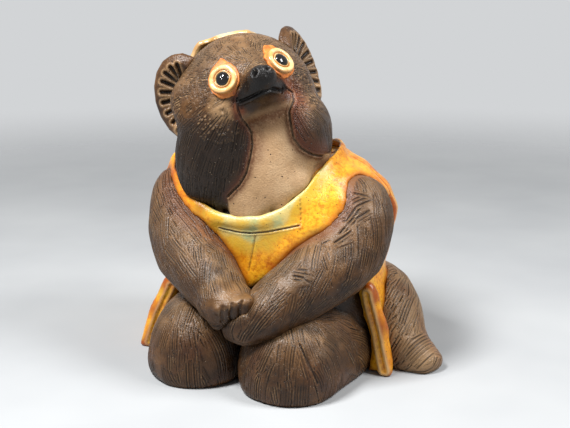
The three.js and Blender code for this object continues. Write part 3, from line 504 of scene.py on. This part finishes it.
def amber_glaze_on_stoneware():
    """Glossy amber glaze dipped over buff stoneware: yellow where thick, orange-brown where it thins on
    edges, freckled with iron, and milky green where ash ran into the neckline."""
    m = bare_material("amber_glaze_on_stoneware")
    place = add(m, "TexCoord").outputs["Object"]
    painted = {
        name: add(m, "Attribute", attribute_name=name).outputs["Fac"]
        for name in ("stroke", "wear_and_highlight", "thin", "pool", "haze", "run")
    }
    wide = add(m, "TexNoise", {"Vector": place, "Scale": 1 / (14 * mm), "Detail": 5.0, "Roughness": 0.65})
    skin = add(
        m, "ValToRGB", {"Fac": wide.outputs["Fac"]},
        stops=[(0.34, "#C67010"), (0.46, "#E89C1A"), (0.56, "#F0AC26"), (0.68, "#DCAE34")],
    ).outputs["Color"]
    mottle = add(m, "TexNoise", {"Vector": place, "Scale": 1 / (2.2 * mm), "Detail": 4.0, "Roughness": 0.7})
    blotched = add(
        m, "ValToRGB", {"Fac": mottle.outputs["Fac"]}, stops=[(0.34, "#BE8450"), (0.56, "#FFFFFF")]
    ).outputs["Color"]
    skin = add(m, "Mix", {0: 0.7, 6: skin, 7: blotched}, data_type="RGBA", blend_type="MULTIPLY").outputs[2]
    pale = add(
        m, "ValToRGB", {"Fac": wide.outputs["Fac"]}, stops=[(0.4, "#C4AC68"), (0.6, "#9CA270")]
    ).outputs["Color"]

    # What is painted frays out into the mottling
    broken = add(m, "Math", {0: mottle.outputs["Fac"], 1: 1.6, 2: -0.8}, operation="MULTIPLY_ADD").outputs[0]
    for name, colour in (("haze", "#C49A2C"), ("thin", "#9C4A10"), ("pool", pale), ("run", "#54290F")):
        share = add(m, "Math", {0: painted[name], 1: broken}, operation="ADD", use_clamp=True).outputs[0]
        share = add(m, "Math", {0: share, 1: painted[name]}, operation="MULTIPLY", use_clamp=True).outputs[0]
        skin = add(m, "Mix", {0: share, 6: skin, 7: colour}, data_type="RGBA").outputs[2]
    cells = add(m, "TexVoronoi", {"Vector": place, "Scale": 1 / (3.6 * mm), "Randomness": 1.0})
    speck = add(
        m, "ValToRGB", {"Fac": cells.outputs["Distance"]}, stops=[(0.07, 0.8), (0.12, 0.0)]
    ).outputs["Color"]
    # Iron freckles, a painted highlight on the lips of scored lines, and the iron in the cuts
    for share, colour in ((speck, "#4E2A10"), (painted["wear_and_highlight"], "#E3C383"), (painted["stroke"], "#3A1D0A")):
        skin = add(m, "Mix", {0: share, 6: skin, 7: colour}, data_type="RGBA").outputs[2]
    height = add(m, "Math", {0: mottle.outputs["Fac"], 1: 0.35 * mm}, operation="MULTIPLY").outputs[0]
    shader = add(m, "BsdfPrincipled", {"Base Color": skin, "Roughness": 0.3, "IOR": 1.45})
    return finish_material(m, shader, height)


amber_glaze = amber_glaze_on_stoneware()
robe = Clay("glazed_robe", ["robe_back", "hem_flap_left", "hem_flap_right"], grain=1.9, swell=0.5)
robe.smooth(9)
robe.points += 0.6 * unevenness(robe.points, 18, robe.rng)[:, None] * robe.settle()
robe.paint["thin"] = 0.8 * (1 - fade(robe.gap_to("arm_left", "arm_right", "tail", far=8), 1, 6))
robe.paint["haze"] = 0.8 * fade(unevenness(robe.points, 24, robe.rng), 0.1, 1)
robe.refine()
groove_right = [(-76, -17, 44), (-85, -18, 25), (-93, -17, 4)]
groove_left = [(55, -16, 52), (62, -18, 28), (69, -18, 4)]
robe.score(groove_right, width=2.6, depth=0.8, lip=0.3, paint=0.1)
robe.score(groove_left, width=3.0, depth=1.6, lip=0.5, paint=0.0)
robe.paint_on("thin", fade(robe.standing(60), 0.3, 1.0))
robe.stand()
robe.fire(amber_glaze, "amber_glaze", "robe_back", "hem_flap_left", "hem_flap_right")

bib = Clay("glazed_bib", ["robe_front", "neckline"], grain=1.2, swell=0.5)
neck_gap = bib.gap_to("neckline", far=16)
bib.smooth(10)
bib.smooth(25, 1 - fade(neck_gap, 2, 9))
bib.points += 0.35 * unevenness(bib.points, 15, bib.rng)[:, None] * bib.settle()
in_front = fade(-bib.points[:, 1], 8, 24) * fade(bib.points[:, 0], -50, -30)
neck_gap = bib.gap_to("throat", "jowl_left", "jowl_right", far=20) + unevenness(bib.points, 20, bib.rng)
neck_gap -= 4 * fade(bib.points[:, 0], -8, 12)
bib.paint["pool"] = in_front * (1 - fade(neck_gap, 3.2, 6))
bib.paint["haze"] = in_front * (1 - fade(neck_gap, 6, 13))
bib.paint["thin"] = 0.9 * (1 - fade(bib.gap_to("arm_left", "arm_right", far=14), 0.5, 8))
bib.paint["run"] = np.exp(-((bib.gap_from((-44, -42, 110)) / 9) ** 2))
bib.refine()

# A seam across the bib, one down its middle, and a broken line up its left side
across = [(-30, -42, 95.5), (-19, -43, 94), (-9, -43, 94), (3, -42, 96), (12, -41, 98), (20, -39, 100)]
down = [(-6.7, -42, 92), (-8.5, -43, 82), (-11, -43, 70)]
bib.score(across, width=1.0, depth=0.8, lip=0.3)
bib.score(down, width=0.9, depth=0.5, paint=0.6)
for low in range(97, 117, 3):
    bib.score([(20.4, -38, low), (20.3, -37, low + 1.2)], width=1.0, depth=0.5, paint=0.5)
bib.fire(amber_glaze, "amber_glaze", "robe_front", "neckline")


# Arms and hands
# Rolled and tapered lumps that hang from the shoulders; the right hand closes over the left wrist. The
# comb runs down the upper arms and slants across the forearms.

def arm_left_flow(points):
    """Down the upper arm, then steeply across the forearm towards the lap."""
    low = fade(-points[:, 2], -88, -66)
    return np.stack([0.15 - 0.6 * low, -0.25 - 0.2 * low, -0.95 + 0.1 * low], 1)


def arm_left_gashes(points):
    """Up and outwards over the inside of the upper arm, and down over the forearm."""
    low = fade(-points[:, 2], -88, -82)
    return np.stack([1 + 0 * low, 0 * low, 0.7 - 1.3 * low], 1)


def arm_right_flow(points):
    """Down and inwards, and straight down over the knuckles."""
    low = fade(points[:, 0], -40, -18)
    return np.stack([0.62 - 0.4 * low, -0.35 + 0 * low, -0.7 - 0.2 * low], 1)


arm_left = Clay("combed_arm_left", ["arm_left", "hand_left"], grain=1.05)
arm_left.smooth(30)
arm_left.points += 0.4 * unevenness(arm_left.points, 22, arm_left.rng)[:, None] * arm_left.settle()
bib_gap = arm_left.gap_to("robe_front", far=16)
arm_left.paint["warm"] = 0.4 * (1 - fade(bib_gap, 2, 9))
arm_left.refine()

# Three places on the inside of the arm, each with its reach, where a coarser comb cut deep gashes
gashed_places = (((50, -25, 110), (11, 14, 10)), ((43, -39, 95), (10, 14, 6)), ((28, -61, 75), (8, 12, 5)))
inner = [np.linalg.norm((arm_left.points - place) / reach, axis=1) for place, reach in gashed_places]
inner = 1 - fade(np.min(inner, 0), 0.8, 1.2)
arm_left.comb(arm_left_flow, where=(1 - inner) * (1 - fade(arm_left.paint["warm"], 0.3, 0.4)))
arm_left.comb(
    arm_left_gashes, tooth=2.3, depth=0.7, length=(12, 26), teeth=(2, 4), cover=2, turn=16, where=inner
)
arm_left.wear_and_top_light()
arm_left.fire(fur_clay, "fur_clay", "arm_left", "hand_left")

arm_right = Clay("combed_arm_right", ["arm_right", "hand_right"], grain=1.05)
hand_gap = arm_right.gap_to("hand_right")
arm_right.smooth(30, 0.5 + 0.5 * fade(hand_gap, 0.5, 5))
arm_right.points += 0.4 * unevenness(arm_right.points, 22, arm_right.rng)[:, None] * arm_right.settle()
arm_right.paint["warm"] = 0.45 * (1 - fade(arm_right.gap_to("robe_front", far=16), 3, 14))
knuckles = np.array([(-16.5, -81.5, 56.5), (-10.5, -80.5, 59), (-5.5, -79, 61), (-0.5, -77.5, 62)])
for knuckle in knuckles:
    arm_right.press(knuckle, radius=3.2, height=2.0)
arm_right.refine()
for a, b in zip(knuckles[:-1], knuckles[1:]):
    between = 0.5 * (a + b)
    down = [between + (0, 0, 1), between + (-1, 0, -5), between + (-2, 3, -11)]
    arm_right.score(down, width=2.0, depth=1.0, paint=0.4)
arm_right.comb(arm_right_flow, where=0.15 + 0.85 * fade(arm_right.gap_from(*knuckles), 7, 13))
arm_right.wear_and_top_light()
arm_right.fire(fur_clay, "fur_clay", "arm_right", "hand_right")


# Head
# A hollow ball of clay with heavy jowls and a tapered snout, tilted up and turned to its left, on a bare
# column of throat. Cheeks and crown are combed away from the nose; the snout is under black slip.

head_centre = (-28.0, -0.3, 169.0)
head_yaw, head_pitch, head_roll = 32.6, 14.7, 16.0
head_frame = (
    Matrix.Translation(head_centre)
    @ Matrix.Rotation(math.radians(head_yaw), 4, "Z")
    @ Matrix.Rotation(math.radians(-head_pitch), 4, "X")
    @ Matrix.Rotation(math.radians(-head_roll), 4, "Y")
)


def in_head(*points):
    """Points given from the middle of the head (left, back, up) as points of the figure."""
    return np.array([head_frame @ Vector(point) for point in points])


def head_way(left, back, up):
    """A direction given in the head's own frame as a direction of the figure."""
    return np.array(head_frame.to_3x3() @ Vector((left, back, up)))


face_way = head_way(0, -1, 0)
nose = in_head((0, -56, 8))[0]


def head_flow(points):
    """Away from the nose over the face, turning down over the jowls."""
    away = unit(points - nose)
    down = fade(-points[:, 2], -165, -140)[:, None] * np.array([0, 0, -1.6])
    return away + down


# Where the jowls end on the throat, from the corners of the mouth down
jowl_edges = {
    "right": [
        (-17, -44, 175), (-17, -43, 169), (-15, -42, 163), (-13, -38, 159), (-11, -36, 154), (-10, -37, 147),
        (-11, -39, 139), (-13, -40, 130), (-17, -41, 123), (-25, -40, 115),
    ],
    "left": [
        (7, -27, 182), (11, -23, 178), (12, -25, 173), (10, -29, 167), (12, -31, 159), (14, -32, 151),
        (18, -30, 145), (24, -26, 141), (27, -17, 139),
    ],
}

# The head is swollen far out and drawn back, which fills the clefts between its lumps as slip does
head = Clay("combed_head", ["skull", "jowl_right", "jowl_left", "throat"], grain=1.45, swell=8)
head.smooth(8)
head.swell(-7.4)
head.lay_on(["snout", "jaw"])
lips = 1 - fade(head.gap_to("snout", "jaw"), 1.5, 6)
head.smooth(25, 1 - 0.9 * lips)
head.smooth(4)

# The mound of cheek fur before the right ear, the broad root of the nose, the hollow sides of the snout,
# its tip, and the low chin under a full lower lip: place, radius and height
for place, radius, height in (
    ((-42, -10, 14), 12, 4.5),
    ((0, -46, 15), 8, 2.0),
    ((-11, -50, 3), 5, -2.0),
    ((10, -51, 3), 5, -2.0),
    ((0, -58, 1), 4, 0.8),
    ((0, -49, -16), 9, -2.5),
    ((-2, -53, -6), 5, 0.8),
):
    head.press(in_head(place)[0], radius, height)

# The tip of the nose is pushed to its left, and the throat out to the neckline
for place, radius, height in (((7, -56, 8), 6, 2.4), ((-6, -54, 11), 5, -1.2)):
    head.press(in_head(place)[0], radius, height, toward=head_way(1, 0, 0))
head.press((18, -22, 122), radius=12, height=6, toward=(0.8, -0.6, -0.1))
head.press((24, -4, 130), radius=9, height=5, toward=(0.9, -0.2, -0.2))

# The throat is bare between the jowls, with iron bled into it along their edges, and painted shade under the
# chin and beside the right jowl
right, left = (np.array(jowl_edges[side], float) for side in ("right", "left"))
x, y, z = head.points.T
forward, up = ((head.points - np.array(head_centre)) @ np.array(head_frame.to_3x3()))[:, 1:].T * [[-1], [1]]
past_right = x - np.interp(z, right[::-1, 2], right[::-1, 0])
past_left = np.interp(z, left[::-1, 2], left[::-1, 0], left=80) - x
bare = fade(past_right, -0.7, 0.7) * fade(past_left, -0.7, 0.7) * fade(-y, -2, 6) * fade(-up, 9, 16)
right_gap = head.gap_to_line(right)
edge = np.minimum(right_gap, head.gap_to_line(left))
head.paint["bare"] = bare
head.paint["throat_stain_and_shade"] = bare * np.max([
    1 - fade(edge, 1, 8),
    1 - fade(-up, 14, 36),
    0.8 * (1 - fade(right_gap, 4, 16)) * (1 - fade(-up, 36, 54)),
], 0)

# Black slip covers the snout from the nostrils down, thinner on the lower jaw
slip = (1 - fade(head.gap_to("snout", "jaw"), 0.8, 3.5)) * fade(forward - up, 40.5, 43)
head.paint["slip"] = slip * (1 - 0.5 * fade(-up, 4, 7)) * (1 - fade(-up, 9, 15))

# Painted shade on the jowls, growing downwards under the head and weaker on the left one, and the left one
# is warmer
jowl_gap = head.gap_to("jowl_right", "jowl_left")
jowl_shade = (0.85 - 0.3 * fade(x, 0, 6)) * (1 - fade(jowl_gap, 0, 12)) * fade(-z, -172, -148)
head.paint["painted_shade"] = jowl_shade * (1 - bare)
head.paint["warm"] = 0.8 * (1 - fade(edge, 1.5, 6 + 8 * fade(x, 0, 6))) * (1 - bare)
head.paint["fur"] = (1 - bare) * (1 - slip) * fade(edge, 1.0, 3.5)
head.paint["jowl"] = (1 - bare) * (1 - fade(jowl_gap, 2, 8)) * fade(-z, -172, -160)
head.refine()

# Short crossing strokes on the face, long ones down the jowls, and fine ones across the root of the nose
fur = fade(head.paint["fur"], 0.4, 0.8)
face_fur = fur * (1 - fade(head.paint["jowl"], 0.2, 0.5))
head.comb(head_flow, tooth=1.4, length=(7, 16), teeth=(3, 6), turn=16, cover=3, where=face_fur)
head.points += 0.1 * (face_fur * unevenness(head.points, 2.6, head.rng))[:, None] * head.settle()
head.comb(head_flow, turn=6, where=fur * fade(head.paint["jowl"], 0.2, 0.5))
nose_root = 1 - fade(head.gap_from(*in_head((-2, -47, 16))), 8, 11)
across_nose = head_way(1, 0.3, 0.25)
head.comb(
    lambda points: points * 0 + across_nose,
    tooth=1.4, depth=0.4, length=(9, 16), teeth=(4, 7), cover=3, turn=8, where=nose_root,
)

# Scored edges of the jowls, the mouth with a pit at each corner, and the nostrils
for side in ("right", "left"):
    head.score(jowl_edges[side], width=1.2, depth=1.2, lip=0.6)
mouth = in_head(
    (-15, -43, -3), (-9, -52, -3.2), (-3, -56.4, -2), (3.3, -55.7, -2.4), (9.7, -49.3, -4.6), (12.5, -45, -5)
)
head.score(mouth, width=1.8, depth=2.0, lip=0.5)
for nostril in in_head((-3.6, -58.5, 8.1), (4.2, -60, 8.8)):
    head.score([nostril, nostril + 0.4 * across_nose], width=2.8, depth=2.6, lip=0.7)
# Each pit is painted near black, as shade in it
for place, radius in (((-16, -42, -1.5), 1.8), ((12.4, -45.6, -5), 2.4)):
    corner = in_head(place)[0]
    head.press(corner, radius, -radius)
    head.paint_on("stroke", np.exp(-((head.gap_from(corner) / radius) ** 4)))

# Crumbs that the comb threw up stuck to the cheeks
cheeks = head.gap_from(*in_head((26, -34, -8), (-28, -32, -12)))
crumbs = np.nonzero((cheeks < 13) & (fur > 0.5))[0]
crumbs = head.points[head.rng.choice(crumbs, 110)]
head.points += (0.5 * np.exp(-((head.gap_from(*crumbs) / 0.8) ** 2)))[:, None] * head.settle()
head.wear_and_top_light()
# A painted highlight on the right cheek
cheek = head.gap_from(*in_head((-24, -37, -3)))
head.paint_on("wear_and_highlight", 0.5 * (1 - fade(cheek, 3, 12)) * fur)
for name in ("wear_and_highlight", "drawn"):
    head.paint[name] *= 1 - head.paint["slip"]
head.fire(fur_clay, "fur_clay", "skull", "jowl_right", "jowl_left", "snout", "jaw", "throat")


# Ears
# Thick discs with a bowl pressed in by the thumb. A loop tool cut nine gouges across each bowl's rim,
# and they are painted near black as shade in them; the bowl gets painted shade and the rim a painted
# highlight.

ears = {
    "left": {"out": 41, "up": 8, "turn": 50, "way": 1},
    "right": {"out": -35, "up": 12, "turn": -34, "way": -1},
}
gouges = 9
for side, ear in ears.items():
    lobe = Clay(f"gouged_ear_{side}", [f"ear_{side}"], grain=0.75, swell=0.5)
    lobe.smooth(5)
    lobe.refine()
    # Painted shade in the hollow of the bowl, and a painted highlight on the rim
    lobe.paint["painted_shade"] = fade(-lobe.standing(200), 0.1, 1.2)
    lobe.paint["wear_and_highlight"] = 0.5 * fade(lobe.standing(40), 0.2, 0.9)
    middle = Vector((ear["out"], 0, ear["up"]))
    turned = Matrix.Rotation(math.radians(ear["turn"]), 4, "Z")
    # Each gouge is painted near black, as shade in it
    for k in range(gouges):
        angle = math.radians(-10 + 150 * k / (gouges - 1))
        toward = Vector((ear["way"] * math.sin(angle), 0, math.cos(angle)))
        gouge = [
            middle + turned @ Vector((toward.x * (14.6 - cut), depth, toward.z * (21.4 - cut)))
            for cut, depth in ((0, -4.5), (5, -1.5), (11, 0.5))
        ]
        lobe.score(in_head(*gouge), width=2.2, depth=1.5, lip=0.3)

    # The foot of the rim curls in over the bowl
    curl = [
        middle + turned @ Vector((ear["way"] * out, -4, height))
        for out, height in ((10, -17), (5, -15), (-1, -15))
    ]
    lobe.score(in_head(*curl), width=3.5, depth=1.6, lip=0.5, paint=0.7)
    lobe.fire(fur_clay, "fur_clay", f"ear_{side}")


# Eyes
# Round each eye lies a thin patch of orange clay. A coil of cream slip is laid on it in a ring, then an
# inner ring, and a ball of black glaze is dropped in the middle.

def orange_terracotta():
    """Orange clay laid on in a thin patch, left matt, mottled darker and lighter."""
    m = bare_material("orange_terracotta")
    place = add(m, "TexCoord").outputs["Object"]
    wide = add(m, "TexNoise", {"Vector": place, "Scale": 1 / (4 * mm), "Detail": 4.0, "Roughness": 0.65})
    skin = add(
        m, "ValToRGB", {"Fac": wide.outputs["Fac"]},
        stops=[(0.3, "#8E4516"), (0.5, "#C4702A"), (0.7, "#D68B3E")],
    ).outputs["Color"]
    height = add(m, "Math", {0: wide.outputs["Fac"], 1: 0.4 * mm}, operation="MULTIPLY").outputs[0]
    shader = add(m, "BsdfPrincipled", {"Base Color": skin, "Roughness": 0.5, "IOR": 1.5})
    return finish_material(m, shader, height)


def cream_glaze_on_coil():
    """Glossy cream glaze over a coil, amber where it ran into the groove between the rings."""
    m = bare_material("cream_glaze_on_coil")
    place = add(m, "TexCoord").outputs["Object"]
    groove = add(m, "Attribute", attribute_name="groove").outputs["Fac"]
    wide = add(m, "TexNoise", {"Vector": place, "Scale": 1 / (5 * mm), "Detail": 3.0})
    skin = add(
        m, "ValToRGB", {"Fac": wide.outputs["Fac"]}, stops=[(0.35, "#CC9A58"), (0.6, "#E4C48C")]
    ).outputs["Color"]
    skin = add(m, "Mix", {0: groove, 6: skin, 7: "#A8641E"}, data_type="RGBA").outputs[2]
    height = add(m, "Math", {0: wide.outputs["Fac"], 1: 0.3 * mm}, operation="MULTIPLY").outputs[0]
    shader = add(m, "BsdfPrincipled", {"Base Color": skin, "Roughness": 0.22, "IOR": 1.52})
    return finish_material(m, shader, height)


def black_glaze_bead():
    """A bead of black iron glaze, thick and mirror glossy."""
    m = bare_material("black_glaze_bead")
    place = add(m, "TexCoord").outputs["Object"]
    wide = add(m, "TexNoise", {"Vector": place, "Scale": 1 / (3 * mm), "Detail": 2.0})
    skin = add(
        m, "ValToRGB", {"Fac": wide.outputs["Fac"]}, stops=[(0.4, "#050404"), (0.7, "#120C09")]
    ).outputs["Color"]
    shader = add(m, "BsdfPrincipled", {"Base Color": skin, "Roughness": 0.06, "IOR": 1.55})
    return finish_material(m, shader, None)


orange_clay = orange_terracotta()
cream_glaze = cream_glaze_on_coil()
black_glaze = black_glaze_bead()

# Radius and height over the ring's seat, from the outer foot in to the groove and the inner ring
eye_section = [
    (9.0, -1.8), (9.1, 0.0), (8.8, 0.8), (8.1, 1.2), (7.0, 1.35), (6.2, 1.1), (5.6, 0.3), (5.3, 0.2),
    (5.0, 0.8), (4.7, 1.1), (4.4, 0.8), (4.2, 0.4), (2.0, 0.2), (0.01, 0.2),
]
pupil_section = [(4.35, 0.0), (4.3, 0.7), (3.9, 1.4), (3.1, 1.9), (2.0, 2.3), (1.0, 2.5), (0.01, 2.5)]
groove_radius, rim_radius = 5.4, 8.7


def thrown(name, section, seat, steps=64, wobble=0.15):
    """A piece turned round an axis: seat gives its middle and axis, and wobble is the hand's, in mm."""
    centre, axis = seat
    aside = unit(np.cross(axis, [0, 0, 1]))
    up = np.cross(aside, axis)
    points = []
    for k in range(steps):
        angle = 2 * math.pi * k / steps
        for radius, height in section:
            pull = 1 + 0.08 * wobble * math.sin(2 * angle + 1) + 0.01 * math.sin(5 * angle)
            out = radius * pull * (math.cos(angle) * aside + math.sin(angle) * up)
            points.append((centre + out + axis * (height + wobble * math.sin(3 * angle + radius))) * mm)
    count = len(section)
    faces = []
    for k in range(steps):
        for i in range(count - 1):
            a, b = k * count + i, ((k + 1) % steps) * count + i
            faces.append((a, b, b + 1, a + 1))
    mesh = bpy.data.meshes.new(name)
    mesh.from_pydata(points, [], faces)
    piece = bpy.data.objects.new(name, mesh)
    bpy.context.collection.objects.link(piece)

    # Glaze pools in the groove between the rings, and under the outer rim
    radii = np.tile([radius for radius, _ in section], steps)
    pooled = np.exp(-(((radii - groove_radius) / 0.5) ** 2)) + 0.6 * (radii > rim_radius)
    layer = mesh.attributes.new("groove", "FLOAT", "POINT")
    layer.data.foreach_set("value", pooled.astype(np.float32))
    piece.modifiers.new("Subdivision", "SUBSURF").levels = 1
    mesh.polygons.foreach_set("use_smooth", np.ones(len(mesh.polygons), bool))
    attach(piece, "root")
    return piece


for side in ("left", "right"):
    ring = np.array([corner.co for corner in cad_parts[f"eye_ring_{side}"].data.vertices]) / mm
    middle = ring.mean(0)

    # The patch is drawn in towards the rings to a ragged edge
    patch = Clay(f"patch_round_eye_{side}", [f"eye_patch_{side}"], grain=0.5, swell=0.5)
    patch.smooth(6)
    inwards = middle - patch.points
    ragged = 0.13 + 0.05 * unevenness(patch.points, 7, patch.rng)
    patch.points += (fade(np.linalg.norm(inwards, axis=1), 7, 13) * ragged)[:, None] * inwards
    patch.fire(orange_clay, "orange_clay", f"eye_patch_{side}")

    # The rings and the bead share a seat, 0.6 mm deep in the patch and square to the frame's ring
    axis = np.linalg.svd(ring - middle)[2][2]
    axis = axis * np.sign(axis @ face_way)
    seat = (middle - 0.6 * axis, axis)
    rings = thrown(f"rings_of_eye_{side}", eye_section, seat)
    rings.data.materials.append(cream_glaze)
    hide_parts(f"eye_ring_{side}", f"eyeball_{side}")
    bead = thrown(f"bead_of_eye_{side}", pupil_section, seat, wobble=0.05)
    bead.data.materials.append(black_glaze)
    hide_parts(f"pupil_{side}")


# Leaf
# A leaf of rolled clay on the back of the crown, under a straw-yellow glaze, with two lobes pulled up.

def leaf_glaze_on_slab():
    """Glossy straw-yellow glaze on a thin slab, brown where it thins on the rim."""
    m = bare_material("leaf_glaze_on_slab")
    place = add(m, "TexCoord").outputs["Object"]
    thin = add(m, "Attribute", attribute_name="thin").outputs["Fac"]
    wide = add(m, "TexNoise", {"Vector": place, "Scale": 1 / (8 * mm), "Detail": 4.0})
    skin = add(
        m, "ValToRGB", {"Fac": wide.outputs["Fac"]}, stops=[(0.35, "#C49C58"), (0.65, "#DCC79A")]
    ).outputs["Color"]
    skin = add(m, "Mix", {0: thin, 6: skin, 7: "#8A4F1C"}, data_type="RGBA").outputs[2]
    height = add(m, "Math", {0: wide.outputs["Fac"], 1: 0.3 * mm}, operation="MULTIPLY").outputs[0]
    shader = add(m, "BsdfPrincipled", {"Base Color": skin, "Roughness": 0.25, "IOR": 1.52})
    return finish_material(m, shader, height)


leaf = Clay("leaf_slab", ["leaf"], grain=0.8, swell=0.4)
leaf.press((-57, -2, 200), radius=6, height=4, toward=(-0.2, -0.4, 0.9))
leaf.press((-39, -6, 208), radius=5, height=4, toward=(-0.1, -0.5, 0.9))
leaf.smooth(6)
leaf.paint["thin"] = 0.5 * fade(leaf.standing(40), 0.3, 0.9)
leaf.fire(leaf_glaze_on_slab(), "leaf_glaze", "leaf")


# Studio
# A pale floor that fades out into a pale room, one large soft lamp at the upper left, a weaker one at the
# right and an even sky, as on a photographer's table.

floor_reach, fades_from, fades_to = 1500 * mm, 350 * mm, 1300 * mm


def pale_backdrop_paper():
    """Pale grey backdrop paper, matt, faintly mottled, which fades from sight far from the figure."""
    m = bare_material("pale_backdrop_paper")
    place = add(m, "TexCoord").outputs["Object"]
    wide = add(m, "TexNoise", {"Vector": place, "Scale": 1 / (160 * mm), "Detail": 3.0})
    skin = add(
        m, "ValToRGB", {"Fac": wide.outputs["Fac"]}, stops=[(0.3, "#A4A6A8"), (0.7, "#B0B2B3")]
    ).outputs["Color"]
    paper = add(m, "BsdfPrincipled", {"Base Color": skin, "Roughness": 0.9}).outputs[0]
    away = add(m, "VectorMath", {0: place}, operation="LENGTH").outputs["Value"]
    gone = add(
        m, "MapRange", {0: away, 1: fades_from, 2: fades_to}, interpolation_type="SMOOTHSTEP"
    ).outputs[0]
    clear = add(m, "BsdfTransparent").outputs[0]
    return finish_material(m, add(m, "MixShader", {0: gone, 1: paper, 2: clear}), None)


paper = bpy.data.meshes.new("floor")
corners = [Vector((x, y, 0)) * floor_reach for x, y in ((-1, -1), (1, -1), (1, 1), (-1, 1))]
paper.from_pydata(corners, [], [(0, 1, 2, 3)])
floor = bpy.data.objects.new("floor", paper)
bpy.context.collection.objects.link(floor)
paper.materials.append(pale_backdrop_paper())


def lamp(name, place, aim, size, watts):
    """A square soft lamp that looks at a point."""
    light = bpy.data.lights.new(name, "AREA")
    light.size = size * mm
    light.energy = watts
    made = bpy.data.objects.new(name, light)
    made.location = Vector(place) * mm
    made.rotation_euler = (Vector(aim) * mm - made.location).to_track_quat("-Z", "Y").to_euler()
    bpy.context.collection.objects.link(made)


lamp("key_lamp", place=(-300, -450, 900), aim=(0, 0, 100), size=260, watts=17)
lamp("fill_lamp", place=(640, -80, 780), aim=(0, 0, 90), size=360, watts=9)

# A weak sky lights the clay, and a brighter room stands behind it and in its reflections
world = bpy.data.worlds.new("sky")
world.use_nodes = True
world.node_tree.nodes.clear()
sky = add(world, "Background", {"Color": "#E6EAEE", "Strength": 0.16}).outputs[0]
room = add(world, "Background", {"Color": "#D2D4D6", "Strength": 1.0}).outputs[0]
path = add(world, "LightPath").outputs
seen = path["Is Camera Ray"]
for ray in ("Is Glossy Ray", "Is Transmission Ray"):
    seen = add(world, "Math", {0: seen, 1: path[ray]}, operation="MAXIMUM").outputs[0]
finished = world.node_tree.nodes.new("ShaderNodeOutputWorld")
world.node_tree.links.new(add(world, "MixShader", {0: seen, 1: sky, 2: room}).outputs[0], finished.inputs[0])
bpy.context.scene.world = world
bpy.context.scene.view_settings.view_transform = "Standard"

# The camera stands 640 mm away, 18 degrees to the figure's left, and looks 14 degrees down
azimuth, elevation, distance = math.radians(18), math.radians(14), 640
aim = Vector((-6.4, 14.4, 92.5))
back = Vector((
    math.sin(azimuth) * math.cos(elevation),
    -math.cos(azimuth) * math.cos(elevation),
    math.sin(elevation),
))
lens = bpy.data.cameras.new("camera")
lens.lens = 61.26
lens.sensor_width = 36
lens.clip_start = 0.01
camera = bpy.data.objects.new("camera", lens)
camera.location = (aim + back * distance) * mm
camera.rotation_euler = back.to_track_quat("Z", "Y").to_euler()
bpy.context.collection.objects.link(camera)
bpy.context.scene.camera = camera
